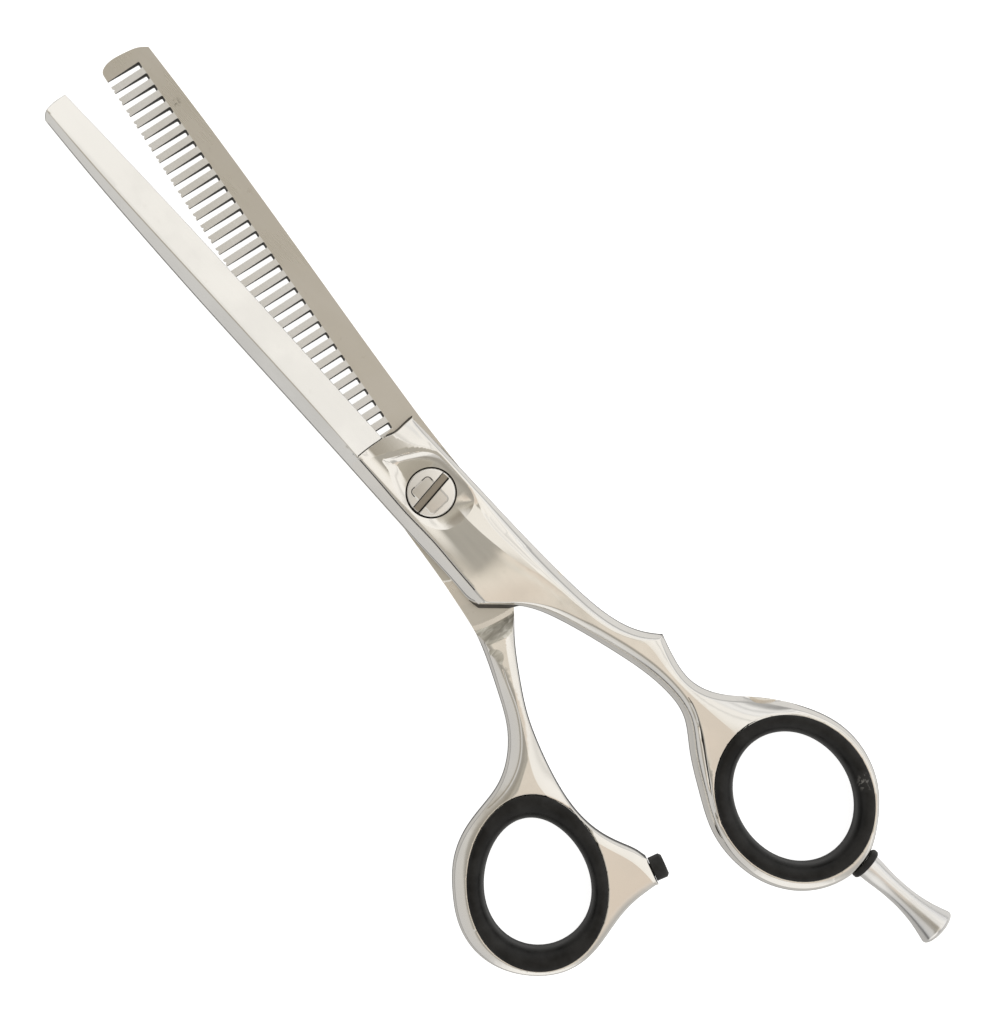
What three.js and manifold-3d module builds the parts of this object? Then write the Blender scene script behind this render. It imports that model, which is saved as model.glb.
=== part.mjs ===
// Thinning shears: a plain blade over a toothed blade, joined by a slotted tension screw.
// Millimetres. The pivot axis is Z, the shears lie on z = 0, and +X runs along the plain blade's edge.
// The shears stand a little open. Positive rotation of the toothed half about +Z closes them.
import * as THREE from "three";
import { mergeVertices } from "three/addons/utils/BufferGeometryUtils.js";
import Module from "manifold-3d";

const wasm = await Module();
wasm.setup();
const { Manifold, Mesh: SolidMesh } = wasm;

// ---------- sizes ----------
const REST_Z = 0.0; // underside of the pivot nut and of both ring inserts
const HANDLE_BOTTOM = 0.6;
const HANDLE_TOP = 6.6;
const MID_Z = (HANDLE_BOTTOM + HANDLE_TOP) / 2;
const BLOCK_TOP = 6.9;
const PART_GAP = 0.1; // between the two halves at the pivot
const UPPER_FACE = MID_Z + PART_GAP / 2; // underside of the plain half
const LOWER_FACE = MID_Z - PART_GAP / 2; // top of the toothed half
const FLAT_R = 22.7; // the halves are flat on each other inside this radius
const RAMP_R = 24.9; // and reach full handle thickness here

const HEAD_R = 3.6; // tension screw
const HEAD_TOP = 7.1;
const HEAD_UNDER = 5.9;
const SHAFT_R = 2.25;
const SHAFT_END = 1.35;
const SLOT = { width: 1.3, depth: 0.75, turn: 6.6 }; // turn is degrees from the Y axis
const COUNTERBORE = { r: 3.85, floor: 5.2 };
const BORE_R = 2.31; // running clearance on the shaft

const NUT = { bodyR: 3.0, flangeR: 4.2, flangeTop: 0.55, top: 3.28, floor: 0.8 };
const WASHER_R = 4.5; // blade washer, let into both halves
const WASHER_Z = [3.37, 3.83];

const SLOTS = 33; // gaps between the teeth
const SLOT_PITCH = 2.031;
const SLOT_W = 0.93;
const SLOT_LEAN = 10; // degrees from Y towards the tip
const FIRST_ROOT = [11.6, -2.4];
const ROOT_FALL = -0.1415; // slope of the line of slot roots

const RING_PTS = 56; // points round each finger ring insert
const CURVE_STEP = 1.7; // spacing of points on the outlines
const rad = THREE.MathUtils.degToRad;

// ---------- outlines, seen from +Z ----------
// Plain half, from the block's rear corner round the finger ring to the nub under the shank.
const FINGER_RUN = [
  [-20.4, 2.5], [-22.5, 0.9], [-26, -0.8], [-31, -2.5], [-37, -4.2], [-42, -5.3], [-46, -5.65],
  [-50, -5.1], [-54, -2.5], [-60, 1.0], [-66, 3.7], [-71, 4.25], [-77, 2.9], [-82, -1.0],
  [-84.4, -6.5], [-84.2, -11], [-82, -14.8], [-78, -18.9], [-73, -21.2], [-67, -21.4], [-61, -19],
  [-55.5, -15], [-51.5, -11.3], [-47, -9.4], [-43, -9.8], [-39, -11],
];
const FINGER_BELLY = [
  [-39, -11], [-36.8, -9.2], [-33.5, -7.6], [-29, -6.6], [-22, -6.05], [-14, -5.8], [-2, -5.7],
  [10.2, -5.5],
];
const FINGER_STEP = [[10.2, -2], [11, 0], [11.3, 4.4], [11.3, 6.4]];
const FINGER_SPINE = [[11.3, 6.4], [5, 6.5], [-5, 6.6], [-14, 6.7], [-16.2, 6.5], [-17.3, 5.9]];
const BLOCK_PAD = [
  [10.2, -4.5], [10.2, -2], [11, 0], [11.3, 4.4], [-15, 4.85], [-19.2, 2.1], [-21.5, -1],
  [-21.5, -4.3], [-10, -4.5],
];
const PLAIN_BLADE = {
  edge: [[8, -0.1], [20, -0.25], [35, -0.42], [50, -0.5], [65, -0.47], [81, -0.25]],
  tip: [[81, -0.25], [81.2, 1.2], [81.15, 2.6], [80.8, 3.8], [80, 4.6]],
  spine: [[80, 4.6], [70, 5.2], [60, 5.6], [45, 5.98], [25, 6.2], [8, 6.45]],
};

// Toothed half, from the heel of the teeth round the thumb ring to the rubber bumper's seat.
const THUMB_RUN = [
  [12.5, 4.55], [6, 5.6], [0, 6.5], [-10, 7.7], [-16, 8.65], [-20, 9.45], [-24, 10.9], [-29, 13.15],
  [-33.5, 15.6], [-36.8, 18.8], [-38.7, 22.3], [-39.5, 26.5], [-40.3, 30.6], [-42.4, 34.8],
  [-46, 38.3], [-50, 40.8], [-54.5, 41.75], [-59, 40.8], [-63, 38.1], [-66, 34], [-66.85, 29.5],
  [-66.1, 24.8], [-65.4, 20.5], [-65.8, 14.75],
];
const THUMB_BELLY = [
  [-61.75, 13.45], [-58.5, 14.4], [-55, 15.9], [-51, 16.4], [-45, 15.7], [-39, 13.95], [-34, 11.9],
  [-29, 8.9], [-24, 5.3], [-20.7, 2.4], [-15, -1.2], [-9, -4], [-3, -5.4], [3, -5.9], [12.5, -6.75],
];
const TOOTHED_BLADE = {
  tips: [[9, 5.05], [23, 2.95], [35, 1.15], [46.4, -0.65], [54.3, -1.95], [62.4, -3.35],
    [70.3, -4.8], [78.2, -6.2]],
  tip: [[79.5, -6.45], [80, -7.2], [80, -9.5], [79.5, -11.3], [78.7, -13.2], [77.8, -14.25]],
  spine: [[77.8, -14.25], [65, -13.05], [50, -11.35], [35, -9.5], [20, -7.65], [9, -6.3]],
};

// Ring inserts: hole and flange rim are ovals, egg > 0 widens the end the angle points to.
const FINGER_OVAL = {
  centre: [-70.1, -8.9],
  hole: { a: 10.15, b: 8.6, turn: -9.5, egg: 0 },
  rim: { a: 12.85, b: 11.45, turn: -8, egg: 0 },
};
const THUMB_OVAL = {
  centre: [-53.3, 27.95],
  hole: { a: 9.6, b: 7.95, turn: 148, egg: 0.11 },
  rim: { a: 13.15, b: 10.45, turn: 143.5, egg: 0.06 },
};
const METAL_BORE = 0.5; // share of the way from hole to rim
const INSERT_SECTION = [ // share of the way from hole to rim, height
  [0, 3.6], [0.05, 1.3], [0.2, 0.3], [0.5, 0], [0.85, 0.04], [1, 0.28], [1, 0.53], [0.46, 0.53],
  [0.46, 6.67], [1, 6.67], [1, 6.92], [0.85, 7.16], [0.5, 7.2], [0.2, 6.9], [0.05, 5.9],
];

const BUMPER = { seat: [-63.78, 14.1, MID_Z], toward: [-0.32, -0.947, 0], r: 1.88, out: 2.15, stemR: 1, stem: 3 };
const FINGER_REST = { seat: [-84.75, -9.95, MID_Z], toward: [-0.9955, -0.095, 0], washer: 0.9 };
const REST_PROFILE = [ // radius, distance from the seat
  [0, -2.2], [1.1, -2.2], [1.2, -2.05], [1.2, 0.96], [1.95, 0.96], [1.86, 2], [1.72, 3.6],
  [1.62, 6.3], [1.8, 9.3], [2.15, 11.3], [2.6, 13], [2.95, 14.1], [2.85, 14.55], [2.3, 14.95],
  [1.2, 15.25], [0, 15.35],
];

// ---------- helpers ----------
function solid(geometry, matrix) {
  const g = geometry.index ? geometry.toNonIndexed() : geometry.clone();
  const bare = new THREE.BufferGeometry().setAttribute("position", g.getAttribute("position"));
  if (matrix) bare.applyMatrix4(matrix);
  const m = mergeVertices(bare, 1e-4);
  const made = new Manifold(
    new SolidMesh({
      numProp: 3,
      vertProperties: new Float32Array(m.attributes.position.array),
      triVerts: new Uint32Array(m.index.array),
    }),
  );
  if (made.volume() <= 0) throw new Error("a helper solid is empty or inside out");
  return made;
}

function geometryOf(made) {
  const m = made.getMesh();
  const g = new THREE.BufferGeometry();
  const v = new Float32Array(m.numVert * 3);
  for (let i = 0; i < m.numVert; i++)
    for (let k = 0; k < 3; k++) v[3 * i + k] = m.vertProperties[i * m.numProp + k];
  g.setAttribute("position", new THREE.BufferAttribute(v, 3));
  g.setIndex(new THREE.BufferAttribute(new Uint32Array(m.triVerts), 1));
  const flat = g.toNonIndexed();
  flat.computeVertexNormals();
  return flat;
}

const vec2 = ([x, y]) => new THREE.Vector2(x, y);

// Points along a smooth curve through the given ones, evenly spaced, without the last.
function smooth(points, step = CURVE_STEP) {
  const curve = new THREE.SplineCurve(points.map(vec2));
  const n = Math.max(2, Math.round(curve.getLength() / step));
  return curve.getSpacedPoints(n).slice(0, -1);
}

function plate(points, z0, z1, round = 0, segments = 2) {
  const bevel = round > 0;
  const deep = bevel ? round * 1.3 : 0;
  const g = new THREE.ExtrudeGeometry(new THREE.Shape(points), {
    depth: z1 - z0 - 2 * deep,
    steps: 1,
    bevelEnabled: bevel,
    bevelSize: round,
    bevelOffset: -round,
    bevelThickness: deep,
    bevelSegments: segments,
  });
  return solid(g, new THREE.Matrix4().makeTranslation(0, 0, z0 + deep));
}

// Joins cross-sections with equal point counts, each a ring of [x, y, z], into one closed body.
function loft(sections) {
  const n = sections[0].length;
  const position = sections.flat(2);
  const index = [];
  for (let s = 0; s + 1 < sections.length; s++)
    for (let i = 0; i < n; i++) {
      const a = s * n + i, b = s * n + ((i + 1) % n);
      index.push(a, b, b + n, a, b + n, a + n);
    }
  const last = (sections.length - 1) * n;
  for (let i = 1; i + 1 < n; i++) {
    index.push(0, i + 1, i);
    index.push(last, last + i, last + i + 1);
  }
  const g = new THREE.BufferGeometry();
  g.setAttribute("position", new THREE.Float32BufferAttribute(position, 3));
  g.setIndex(index);
  return solid(g);
}

// A turned body about Z from [radius, z] points that start and end on the axis.
function turned(profile, segments = 48) {
  const points = profile.map(vec2);
  const g = new THREE.LatheGeometry(points, segments);
  g.rotateX(Math.PI / 2);
  return solid(g);
}

// A washer-like body from a closed [radius, z] loop clear of the axis.
function ringBody(loop, segments = 48) {
  const g = new THREE.LatheGeometry([...loop, loop[0]].map(vec2), segments);
  g.rotateX(Math.PI / 2);
  return solid(g);
}

const cylinder = (r, z0, z1, segments = 48) =>
  turned([[0, z0], [r, z0], [r, z1], [0, z1]], segments);

function box(w, d, h, place) {
  return solid(new THREE.BoxGeometry(w, d, h), place);
}

// A matrix that puts the Z axis along a direction, starting at a seat.
function aimed({ seat, toward }) {
  const turn = new THREE.Quaternion().setFromUnitVectors(
    new THREE.Vector3(0, 0, 1),
    new THREE.Vector3(...toward).normalize(),
  );
  return new THREE.Matrix4().compose(new THREE.Vector3(...seat), turn, new THREE.Vector3(1, 1, 1));
}

const moved = (made, matrix) => made.transform(matrix.elements);

function heightAt(line, x) {
  let i = 0;
  const rising = line[line.length - 1][0] > line[0][0];
  const pts = rising ? line : [...line].reverse();
  while (i + 2 < pts.length && x > pts[i + 1][0]) i++;
  const [x0, y0] = pts[i], [x1, y1] = pts[i + 1];
  return y0 + ((x - x0) / (x1 - x0)) * (y1 - y0);
}

function ovalPoint({ a, b, turn, egg }, [cx, cy], t) {
  const u = Math.cos(t);
  const p = vec2([a * u, b * (1 + egg * u) * Math.sin(t)]);
  p.rotateAround(new THREE.Vector2(), rad(turn));
  return p.add(new THREE.Vector2(cx, cy));
}

// A point between the hole's oval and the rim's oval, matched by direction from the centre.
function ringPoint(oval, share, i, count) {
  const t = (2 * Math.PI * i) / count;
  const hole = ovalPoint(oval.hole, oval.centre, t - rad(oval.hole.turn));
  const rim = ovalPoint(oval.rim, oval.centre, t - rad(oval.rim.turn));
  return hole.lerp(rim, share);
}

const ringOutline = (oval, share) =>
  Array.from({ length: RING_PTS }, (_, i) => ringPoint(oval, share, i, RING_PTS));

function ringInsert(oval) {
  const n = INSERT_SECTION.length;
  const position = [];
  const index = [];
  for (let i = 0; i < RING_PTS; i++)
    for (const [share, z] of INSERT_SECTION) {
      const p = ringPoint(oval, share, i, RING_PTS);
      position.push(p.x, p.y, z);
    }
  for (let i = 0; i < RING_PTS; i++)
    for (let k = 0; k < n; k++) {
      const j = (i + 1) % RING_PTS, m = (k + 1) % n;
      const a = i * n + k, b = i * n + m, c = j * n + m, d = j * n + k;
      index.push(a, c, b, a, d, c);
    }
  const g = new THREE.BufferGeometry();
  g.setAttribute("position", new THREE.Float32BufferAttribute(position, 3));
  g.setIndex(index);
  return solid(g);
}

// ---------- plain half: blade, block, shank and finger ring ----------
const fingerOutline = [
  ...smooth(FINGER_RUN), ...smooth(FINGER_BELLY), vec2([10.2, -5.5]),
  ...FINGER_STEP.slice(0, 3).map(vec2), ...smooth(FINGER_SPINE, 3), vec2([-17.3, 5.9]),
];
// Clears the other half: flat inside FLAT_R, then a ramp out to full thickness.
const underCut = turned([
  [0, -1], [RAMP_R + 0.6, -1], [RAMP_R + 0.6, HANDLE_BOTTOM], [RAMP_R + 0.1, 1.2], [FLAT_R + 1.1, 3.1],
  [FLAT_R + 0.6, UPPER_FACE], [0, UPPER_FACE],
], 96);

const plainX = [8, 12, 22, 34, 46, 58, 68, 76, 82];
const plainBladeBody = loft(
  plainX.map((x) => {
    const far = (x - 8) / 74;
    const edge = heightAt(PLAIN_BLADE.edge, x), spine = heightAt(PLAIN_BLADE.spine, x);
    const top = 5.85 - 0.5 * far, back = 4.7 - 0.4 * far, crest = 4.4 - 0.85 * far;
    return [
      [x, edge - 0.2, UPPER_FACE], [x, spine + 0.3, UPPER_FACE], [x, spine + 0.3, back - 0.15],
      [x, crest, top], [x, edge - 0.2, UPPER_FACE + 0.08],
    ];
  }),
);
const plainPlan = [
  ...smooth(PLAIN_BLADE.edge, 8), ...smooth(PLAIN_BLADE.tip, 0.9), ...smooth(PLAIN_BLADE.spine, 8),
  vec2([8, 6.45]),
];
// The scoop round the screw head, opening towards the blade.
const scoop = turned([[0, 5.9], [4.1, 6.2], [5.4, 6.55], [6.35, 7.1], [6.35, 8], [0, 8]]);
const ramp = box(14, 9.4, 3, new THREE.Matrix4().makeRotationY(rad(4)).setPosition(9, -0.3, 7.95));
// The long grind behind the block's upper rim.
const backGrind = loft(
  [-15, 13].map((x) => [
    [x, 4.85 - (x + 15) * 0.015, 6.3], [x, 7.6, 4.1], [x, 7.6, 8], [x, 4.85 - (x + 15) * 0.015, 8],
  ]),
);

let plainHalf = plate(fingerOutline, HANDLE_BOTTOM, HANDLE_TOP, 1.2)
  .add(plate(BLOCK_PAD.map(vec2), UPPER_FACE, BLOCK_TOP))
  .subtract(scoop)
  .subtract(ramp)
  .subtract(backGrind)
  .subtract(underCut)
  .add(plainBladeBody.intersect(plate(plainPlan, 0, 8)));
plainHalf = plainHalf
  .subtract(plate(ringOutline(FINGER_OVAL, METAL_BORE), -1, 8))
  .subtract(cylinder(COUNTERBORE.r, COUNTERBORE.floor, 9))
  .subtract(cylinder(BORE_R, 0, 9))
  .subtract(cylinder(WASHER_R + 0.1, 0, WASHER_Z[1] + 0.03))
  .subtract(moved(cylinder(1.27, -2.4, 1, 24), aimed(FINGER_REST)));

// ---------- toothed half: blade, block, shank and thumb ring ----------
const thumbOutline = [
  ...smooth(THUMB_RUN), vec2([-65.8, 14.75]), ...smooth(THUMB_BELLY), vec2([12.5, -6.75]),
];
const overCut = turned([
  [0, LOWER_FACE], [FLAT_R, LOWER_FACE], [FLAT_R + 0.5, 4.1], [RAMP_R - 0.5, 6],
  [RAMP_R, HANDLE_TOP], [RAMP_R, 9], [0, 9],
], 96);

const toothedX = [9, 14, 26, 38, 50, 62, 72, 81];
const toothedBladeBody = loft(
  toothedX.map((x) => {
    const far = (x - 9) / 72;
    const tips = heightAt(TOOTHED_BLADE.tips, x), spine = heightAt(TOOTHED_BLADE.spine, x);
    const low = 1.3 + 0.4 * far;
    return [
      [x, tips + 0.3, LOWER_FACE], [x, spine - 0.3, LOWER_FACE], [x, spine - 0.3, 2.3],
      [x, spine + 1.2, low], [x, spine + 3.4, low], [x, tips + 0.3, LOWER_FACE - 0.25],
    ];
  }),
);
const toothedPlan = [
  ...smooth(TOOTHED_BLADE.tips, 8), vec2([78.2, -6.2]), ...smooth(TOOTHED_BLADE.tip, 1.2),
  ...smooth(TOOTHED_BLADE.spine, 8), vec2([9, -6.3]),
];

function slotFrame(i) {
  const x = FIRST_ROOT[0] + SLOT_PITCH * i;
  const y = FIRST_ROOT[1] + ROOT_FALL * SLOT_PITCH * i;
  return { x, y };
}
const lean = rad(SLOT_LEAN);
const slotCuts = [];
for (let i = 0; i < SLOTS; i++) {
  const { x, y } = slotFrame(i);
  const half = 5; // half the cutter's length, enough to pass the tooth tips
  const place = new THREE.Matrix4()
    .makeRotationZ(-lean)
    .setPosition(x + half * Math.sin(lean), y + half * Math.cos(lean), MID_Z);
  slotCuts.push(box(SLOT_W, 2 * half, 8, place));
}
// A small V in each narrow tooth's tip.
const notchCuts = [];
for (let i = 0; i + 1 < SLOTS; i++) {
  const a = slotFrame(i), b = slotFrame(i + 1);
  let x = (a.x + b.x) / 2, y = (a.y + b.y) / 2;
  while (y < heightAt(TOOTHED_BLADE.tips, x) - 0.02) {
    x += 0.05 * Math.sin(lean);
    y += 0.05 * Math.cos(lean);
  }
  const place = new THREE.Matrix4().makeRotationZ(-lean + Math.PI / 4).setPosition(x, y, MID_Z);
  notchCuts.push(box(0.42, 0.42, 8, place));
}

let toothedHalf = plate(thumbOutline, HANDLE_BOTTOM, HANDLE_TOP, 1.2)
  .subtract(overCut)
  .add(toothedBladeBody.intersect(plate(toothedPlan, 0, 8)))
  .subtract(plate(ringOutline(THUMB_OVAL, METAL_BORE), -1, 8))
  .subtract(cylinder(NUT.bodyR + 0.03, -1, 9))
  .subtract(cylinder(WASHER_R + 0.1, WASHER_Z[0] - 0.03, 9))
  .subtract(moved(cylinder(BUMPER.stemR + 0.05, -3.2, 1, 24), aimed(BUMPER)));
toothedHalf = Manifold.difference([toothedHalf, ...slotCuts, ...notchCuts]);

// ---------- pivot ----------
const screwSlot = box(
  SLOT.width, 9, 2 * SLOT.depth,
  new THREE.Matrix4().makeRotationZ(rad(SLOT.turn)).setPosition(0, 0, HEAD_TOP),
);
const tensionScrew = turned([
  [0, SHAFT_END], [SHAFT_R - 0.3, SHAFT_END], [SHAFT_R, SHAFT_END + 0.3], [SHAFT_R, HEAD_UNDER],
  [HEAD_R, HEAD_UNDER], [HEAD_R, HEAD_TOP - 0.2], [HEAD_R - 0.2, HEAD_TOP], [0, HEAD_TOP],
]).subtract(screwSlot);
const headWasher = ringBody([[2.4, 5.23], [3.7, 5.23], [3.7, 5.42], [2.4, 5.42]]);
const discSpring = ringBody([[2.4, 5.62], [3.65, 5.45], [3.65, 5.62], [2.4, 5.86]]);
const bladeWasher = ringBody([
  [2.4, WASHER_Z[0]], [WASHER_R, WASHER_Z[0]], [WASHER_R, WASHER_Z[1]], [2.4, WASHER_Z[1]],
]);
const pivotNut = turned([
  [0, REST_Z], [NUT.flangeR - 0.2, REST_Z], [NUT.flangeR, 0.2], [NUT.flangeR, NUT.flangeTop],
  [NUT.bodyR, NUT.flangeTop], [NUT.bodyR, NUT.top], [BORE_R, NUT.top], [BORE_R, NUT.floor],
  [0, NUT.floor],
]);
const lockPlug = turned([[0, 0.83], [2.1, 0.83], [2.1, 1.2], [0, 1.2]]);

// ---------- rubber pieces and finger rest ----------
const bumper = moved(
  turned([
    [0, -BUMPER.stem], [BUMPER.stemR, -BUMPER.stem], [BUMPER.stemR, 0.06], [BUMPER.r, 0.06],
    [BUMPER.r, BUMPER.out - 0.5], [BUMPER.r - 0.35, BUMPER.out - 0.1], [0, BUMPER.out],
  ], 32),
  aimed(BUMPER),
);
const restWasher = moved(
  ringBody([[1.27, 0.04], [2.3, 0.04], [2.52, 0.25], [2.52, 0.7], [2.3, 0.9], [1.27, 0.9]], 32),
  aimed(FINGER_REST),
);
const fingerRest = moved(turned(REST_PROFILE, 32), aimed(FINGER_REST));

// ---------- the assembly ----------
const STEEL = { color: 0xd9d5ce, roughness: 0.14, metalness: 1 };
const SATIN = { color: 0xb9b4a8, roughness: 0.32, metalness: 1 };
const PLAIN = { color: 0x8f8a80, roughness: 0.4, metalness: 1 };
const BLACK = { color: 0x2a2826, roughness: 0.45, metalness: 0 };
const NYLON = { color: 0xe6e2d6, roughness: 0.5, metalness: 0 };

const group = new THREE.Group();
const pieces = [
  ["plain_blade_handle", plainHalf, STEEL],
  ["toothed_blade_handle", toothedHalf, SATIN],
  ["tension_screw", tensionScrew, STEEL],
  ["head_washer", headWasher, PLAIN],
  ["disc_spring", discSpring, PLAIN],
  ["blade_washer", bladeWasher, NYLON],
  ["pivot_nut", pivotNut, STEEL],
  ["lock_plug", lockPlug, NYLON],
  ["finger_ring_insert", ringInsert(FINGER_OVAL), BLACK],
  ["thumb_ring_insert", ringInsert(THUMB_OVAL), BLACK],
  ["bumper", bumper, BLACK],
  ["finger_rest", fingerRest, STEEL],
  ["finger_rest_washer", restWasher, BLACK],
];
for (const [name, made, look] of pieces) {
  const mesh = new THREE.Mesh(geometryOf(made), new THREE.MeshStandardMaterial(look));
  mesh.name = name;
  group.add(mesh);
}

export default group;
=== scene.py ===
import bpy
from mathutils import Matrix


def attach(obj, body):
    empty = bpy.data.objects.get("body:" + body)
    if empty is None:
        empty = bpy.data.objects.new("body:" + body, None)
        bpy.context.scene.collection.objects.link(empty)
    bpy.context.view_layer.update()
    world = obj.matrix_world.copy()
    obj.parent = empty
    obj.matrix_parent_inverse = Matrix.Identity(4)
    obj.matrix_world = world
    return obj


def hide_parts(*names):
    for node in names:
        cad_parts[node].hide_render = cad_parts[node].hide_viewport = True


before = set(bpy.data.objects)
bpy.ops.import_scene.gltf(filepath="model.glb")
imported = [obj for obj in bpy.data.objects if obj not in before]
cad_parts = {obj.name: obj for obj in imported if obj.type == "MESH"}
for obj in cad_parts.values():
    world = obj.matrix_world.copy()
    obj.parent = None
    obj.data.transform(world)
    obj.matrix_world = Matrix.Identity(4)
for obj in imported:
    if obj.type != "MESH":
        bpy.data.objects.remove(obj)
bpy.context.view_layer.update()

import math

import bpy
import numpy as np
from mathutils import Matrix, Vector, geometry

# Thinning shears. Lengths are in millimetres in the row's frame: the pivot axis is Z, the shears lie
# on z = 0, and +X runs along the plain blade. Each half is one closed shell: an outer sheet, an inner
# sheet, a rounded band round the outline, and the walls of its holes.

MM = 0.001
MIRROR = 7.2   # the toothed half is built upside down, at this height minus z
MID = 3.6      # half way up the handles
CHUNK = 4000   # points handled at once
TINY = 1e-12   # keeps a division from being by zero
CREASE_CLEAR = .04    # creases end this far from a face's rims
GRID_ROOM = .45       # grid points keep this share of their spacing from every line
GRID_RISE = .866      # the height of a row of even triangles
CORNER_PULL = .04     # a corner's normal is taken this share of the way to its triangle's middle
CORNER_REACH = 6      # how far a sharp corner holds the edge radii down
WALL_HALF = .03       # half the height that the side wall has at least

# ---------------------------------------------------------------- outlines
# Rows are x, y, edge radius, share of the side that the radius takes. The handles' outer runs also give
# the width of the facet along the edge and how far it falls.
FINGER_RUN = [
    (-20.4, 2.5, .5, .5, 0, 0), (-22.5, .9, .9, .7, 0, 0), (-26, -.8, 1.6, 1, 0, 0),
    (-31, -2.5, 2.0, 1, 0, 0), (-37, -4.2, 2.2, 1, 0, 0), (-42, -5.3, 2.1, 1, 0, 0),
    (-46, -5.65, 1.9, 1, .2, 0), (-50, -5.1, 1.8, 1, 1.2, .2), (-54, -2.5, 1.8, 1, 2.3, .45),
    (-60, 1.0, 1.6, 1, 2.4, .55), (-66, 3.7, 1.2, 1, 2.3, .8), (-71, 4.25, .7, 1, 2.1, 1.0),
    (-77, 2.9, .7, 1, 1.9, .9), (-82, -1.0, .7, 1, 1.7, .7), (-84.4, -6.5, .7, 1, 1.5, .5),
    (-84.2, -11, .7, 1, 1.3, .45), (-82, -14.8, .6, 1, 1.1, .4), (-78, -18.9, .6, 1, 1.1, .4),
    (-73, -21.2, .6, 1, 1.2, .4), (-67, -21.4, .7, 1, 1.5, .5), (-61, -19, .8, 1, 2.6, .85),
    (-55.5, -15, .9, 1, 3.8, 1.2), (-51.5, -11.3, 1.0, 1, 2.5, .7), (-47, -9.4, 1.2, 1, 1.3, .25),
    (-43, -9.8, 1.2, 1, 1.4, .3), (-39, -11, .8, 1, 1.6, .4),
]
FINGER_BELLY = [
    (-39, -11, .8, 1), (-36.8, -9.2, 1.4, 1), (-33.5, -7.6, 1.7, 1), (-29, -6.6, 1.8, 1),
    (-22, -6.05, 1.9, .9), (-14, -5.8, 1.7, .8), (-6, -5.73, 1.0, .7), (2, -5.67, .8, .6),
    (10.2, -5.5, .7, .5),
]
FINGER_FRONT = [(10.2, -5.5, .12, .1), (10.2, -3.5, .12, .1), (10.22, -2.2, .12, .1),
                (10.6, -1.0, .12, .1), (10.9, -.25, .1, .1)]
PLAIN_EDGE = [(11.2, -.1, .03, .5), (20, -.25, .08, .6), (35, -.42, .09, .6), (50, -.5, .09, .6),
              (65, -.47, .09, .6), (81, -.25, .09, .6)]
PLAIN_TIP = [(81, -.25, .15, .5), (81.19, 1.2, .25, .4), (81.15, 2.6, .25, .4), (80.8, 3.8, .25, .3),
             (80, 4.6, .2, .2)]
PLAIN_SPINE = [(80, 4.6, .2, .2), (70, 5.2, .25, .25), (60, 5.6, .25, .25), (45, 5.98, .25, .25),
               (25, 6.2, .25, .25), (5, 6.5, .25, .2), (-5, 6.6, .25, .2), (-14, 6.72, .3, .2),
               (-15.8, 6.66, .4, .3), (-17.0, 6.1, .45, .4)]
FINGER_HEEL = [(-17.0, 6.1, .45, .4), (-18.7, 4.3, .45, .45), (-20.4, 2.5, .45, .5)]

THUMB_RUN = [
    (10.6, 4.9, .05, .1, 0, 0), (6, 5.6, .2, .3, 0, 0), (0, 6.5, .3, .4, 0, 0), (-10, 7.7, .5, .5, 0, 0),
    (-16, 8.65, .8, .6, 0, 0), (-20, 9.45, .9, .8, .8, .2), (-24, 10.9, .9, 1, 1.9, .7),
    (-29, 13.15, .8, 1, 2.6, 1.1), (-33.5, 15.6, .8, 1, 2.9, 1.2), (-36.8, 18.8, .8, 1, 3.1, 1.2),
    (-38.7, 22.3, .8, 1, 2.9, 1.0), (-39.5, 26.5, .8, 1, 2.5, .8), (-40.3, 30.6, .8, 1, 2.5, .8),
    (-42.4, 34.8, .8, 1, 3.0, 1.0), (-46, 38.3, .8, 1, 3.2, 1.1), (-50, 40.8, .8, 1, 2.8, 1.1),
    (-54.5, 41.75, .7, 1, 2.1, 1.0), (-59, 40.8, .6, 1, 1.6, .8), (-63, 38.1, .5, 1, 1.3, .55),
    (-66, 34, .5, 1, 1.2, .4), (-66.85, 29.5, .5, 1, 1.2, .35), (-66.1, 24.8, .5, 1, 1.4, .35),
    (-65.4, 20.5, .6, 1, 1.5, .35), (-65.5, 17.2, .6, 1, 1.4, .3), (-65.8, 14.75, .5, 1, 1.2, .25),
]
THUMB_SEAT = [(-65.8, 14.75, .2, .3), (-61.75, 13.45, .2, .3)]
THUMB_BELLY = [
    (-61.75, 13.45, .3, .5), (-60.2, 13.7, .5, .8), (-58.2, 14.5, .6, 1), (-55, 15.75, .5, 1),
    (-51.5, 16.35, .4, .9), (-45, 15.7, .38, .9), (-39, 13.95, .38, .9), (-34, 11.9, .38, .9),
    (-29, 8.9, .38, .9), (-24, 5.3, .38, .9), (-20.7, 2.4, .5, .8), (-15, -1.2, .8, .6),
    (-9, -4, .8, .5), (-3, -5.4, .7, .5), (3, -5.9, .5, .5), (9.6, -6.45, .3, .4),
]
TOOTHED_SPINE = [(9.6, -6.45, .3, .4), (20, -7.65, .3, .4), (35, -9.5, .3, .4), (50, -11.35, .3, .4),
                 (65, -13.05, .3, .4), (77.8, -14.25, .25, .4)]
TOOTHED_TIP = [(77.8, -14.25, .25, .4), (78.7, -13.2, .2, .4), (79.5, -11.3, .2, .4),
               (80, -9.5, .2, .4), (80, -7.2, .2, .4), (79.6, -6.55, .1, .3), (78.9, -6.3, .04, .2)]
TOOTH_TIPS = [(9, 5.15), (23, 2.95), (35, 1.15), (46.4, -.65), (54.3, -1.95), (62.4, -3.35),
              (70.3, -4.8), (78.9, -6.3)]

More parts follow.
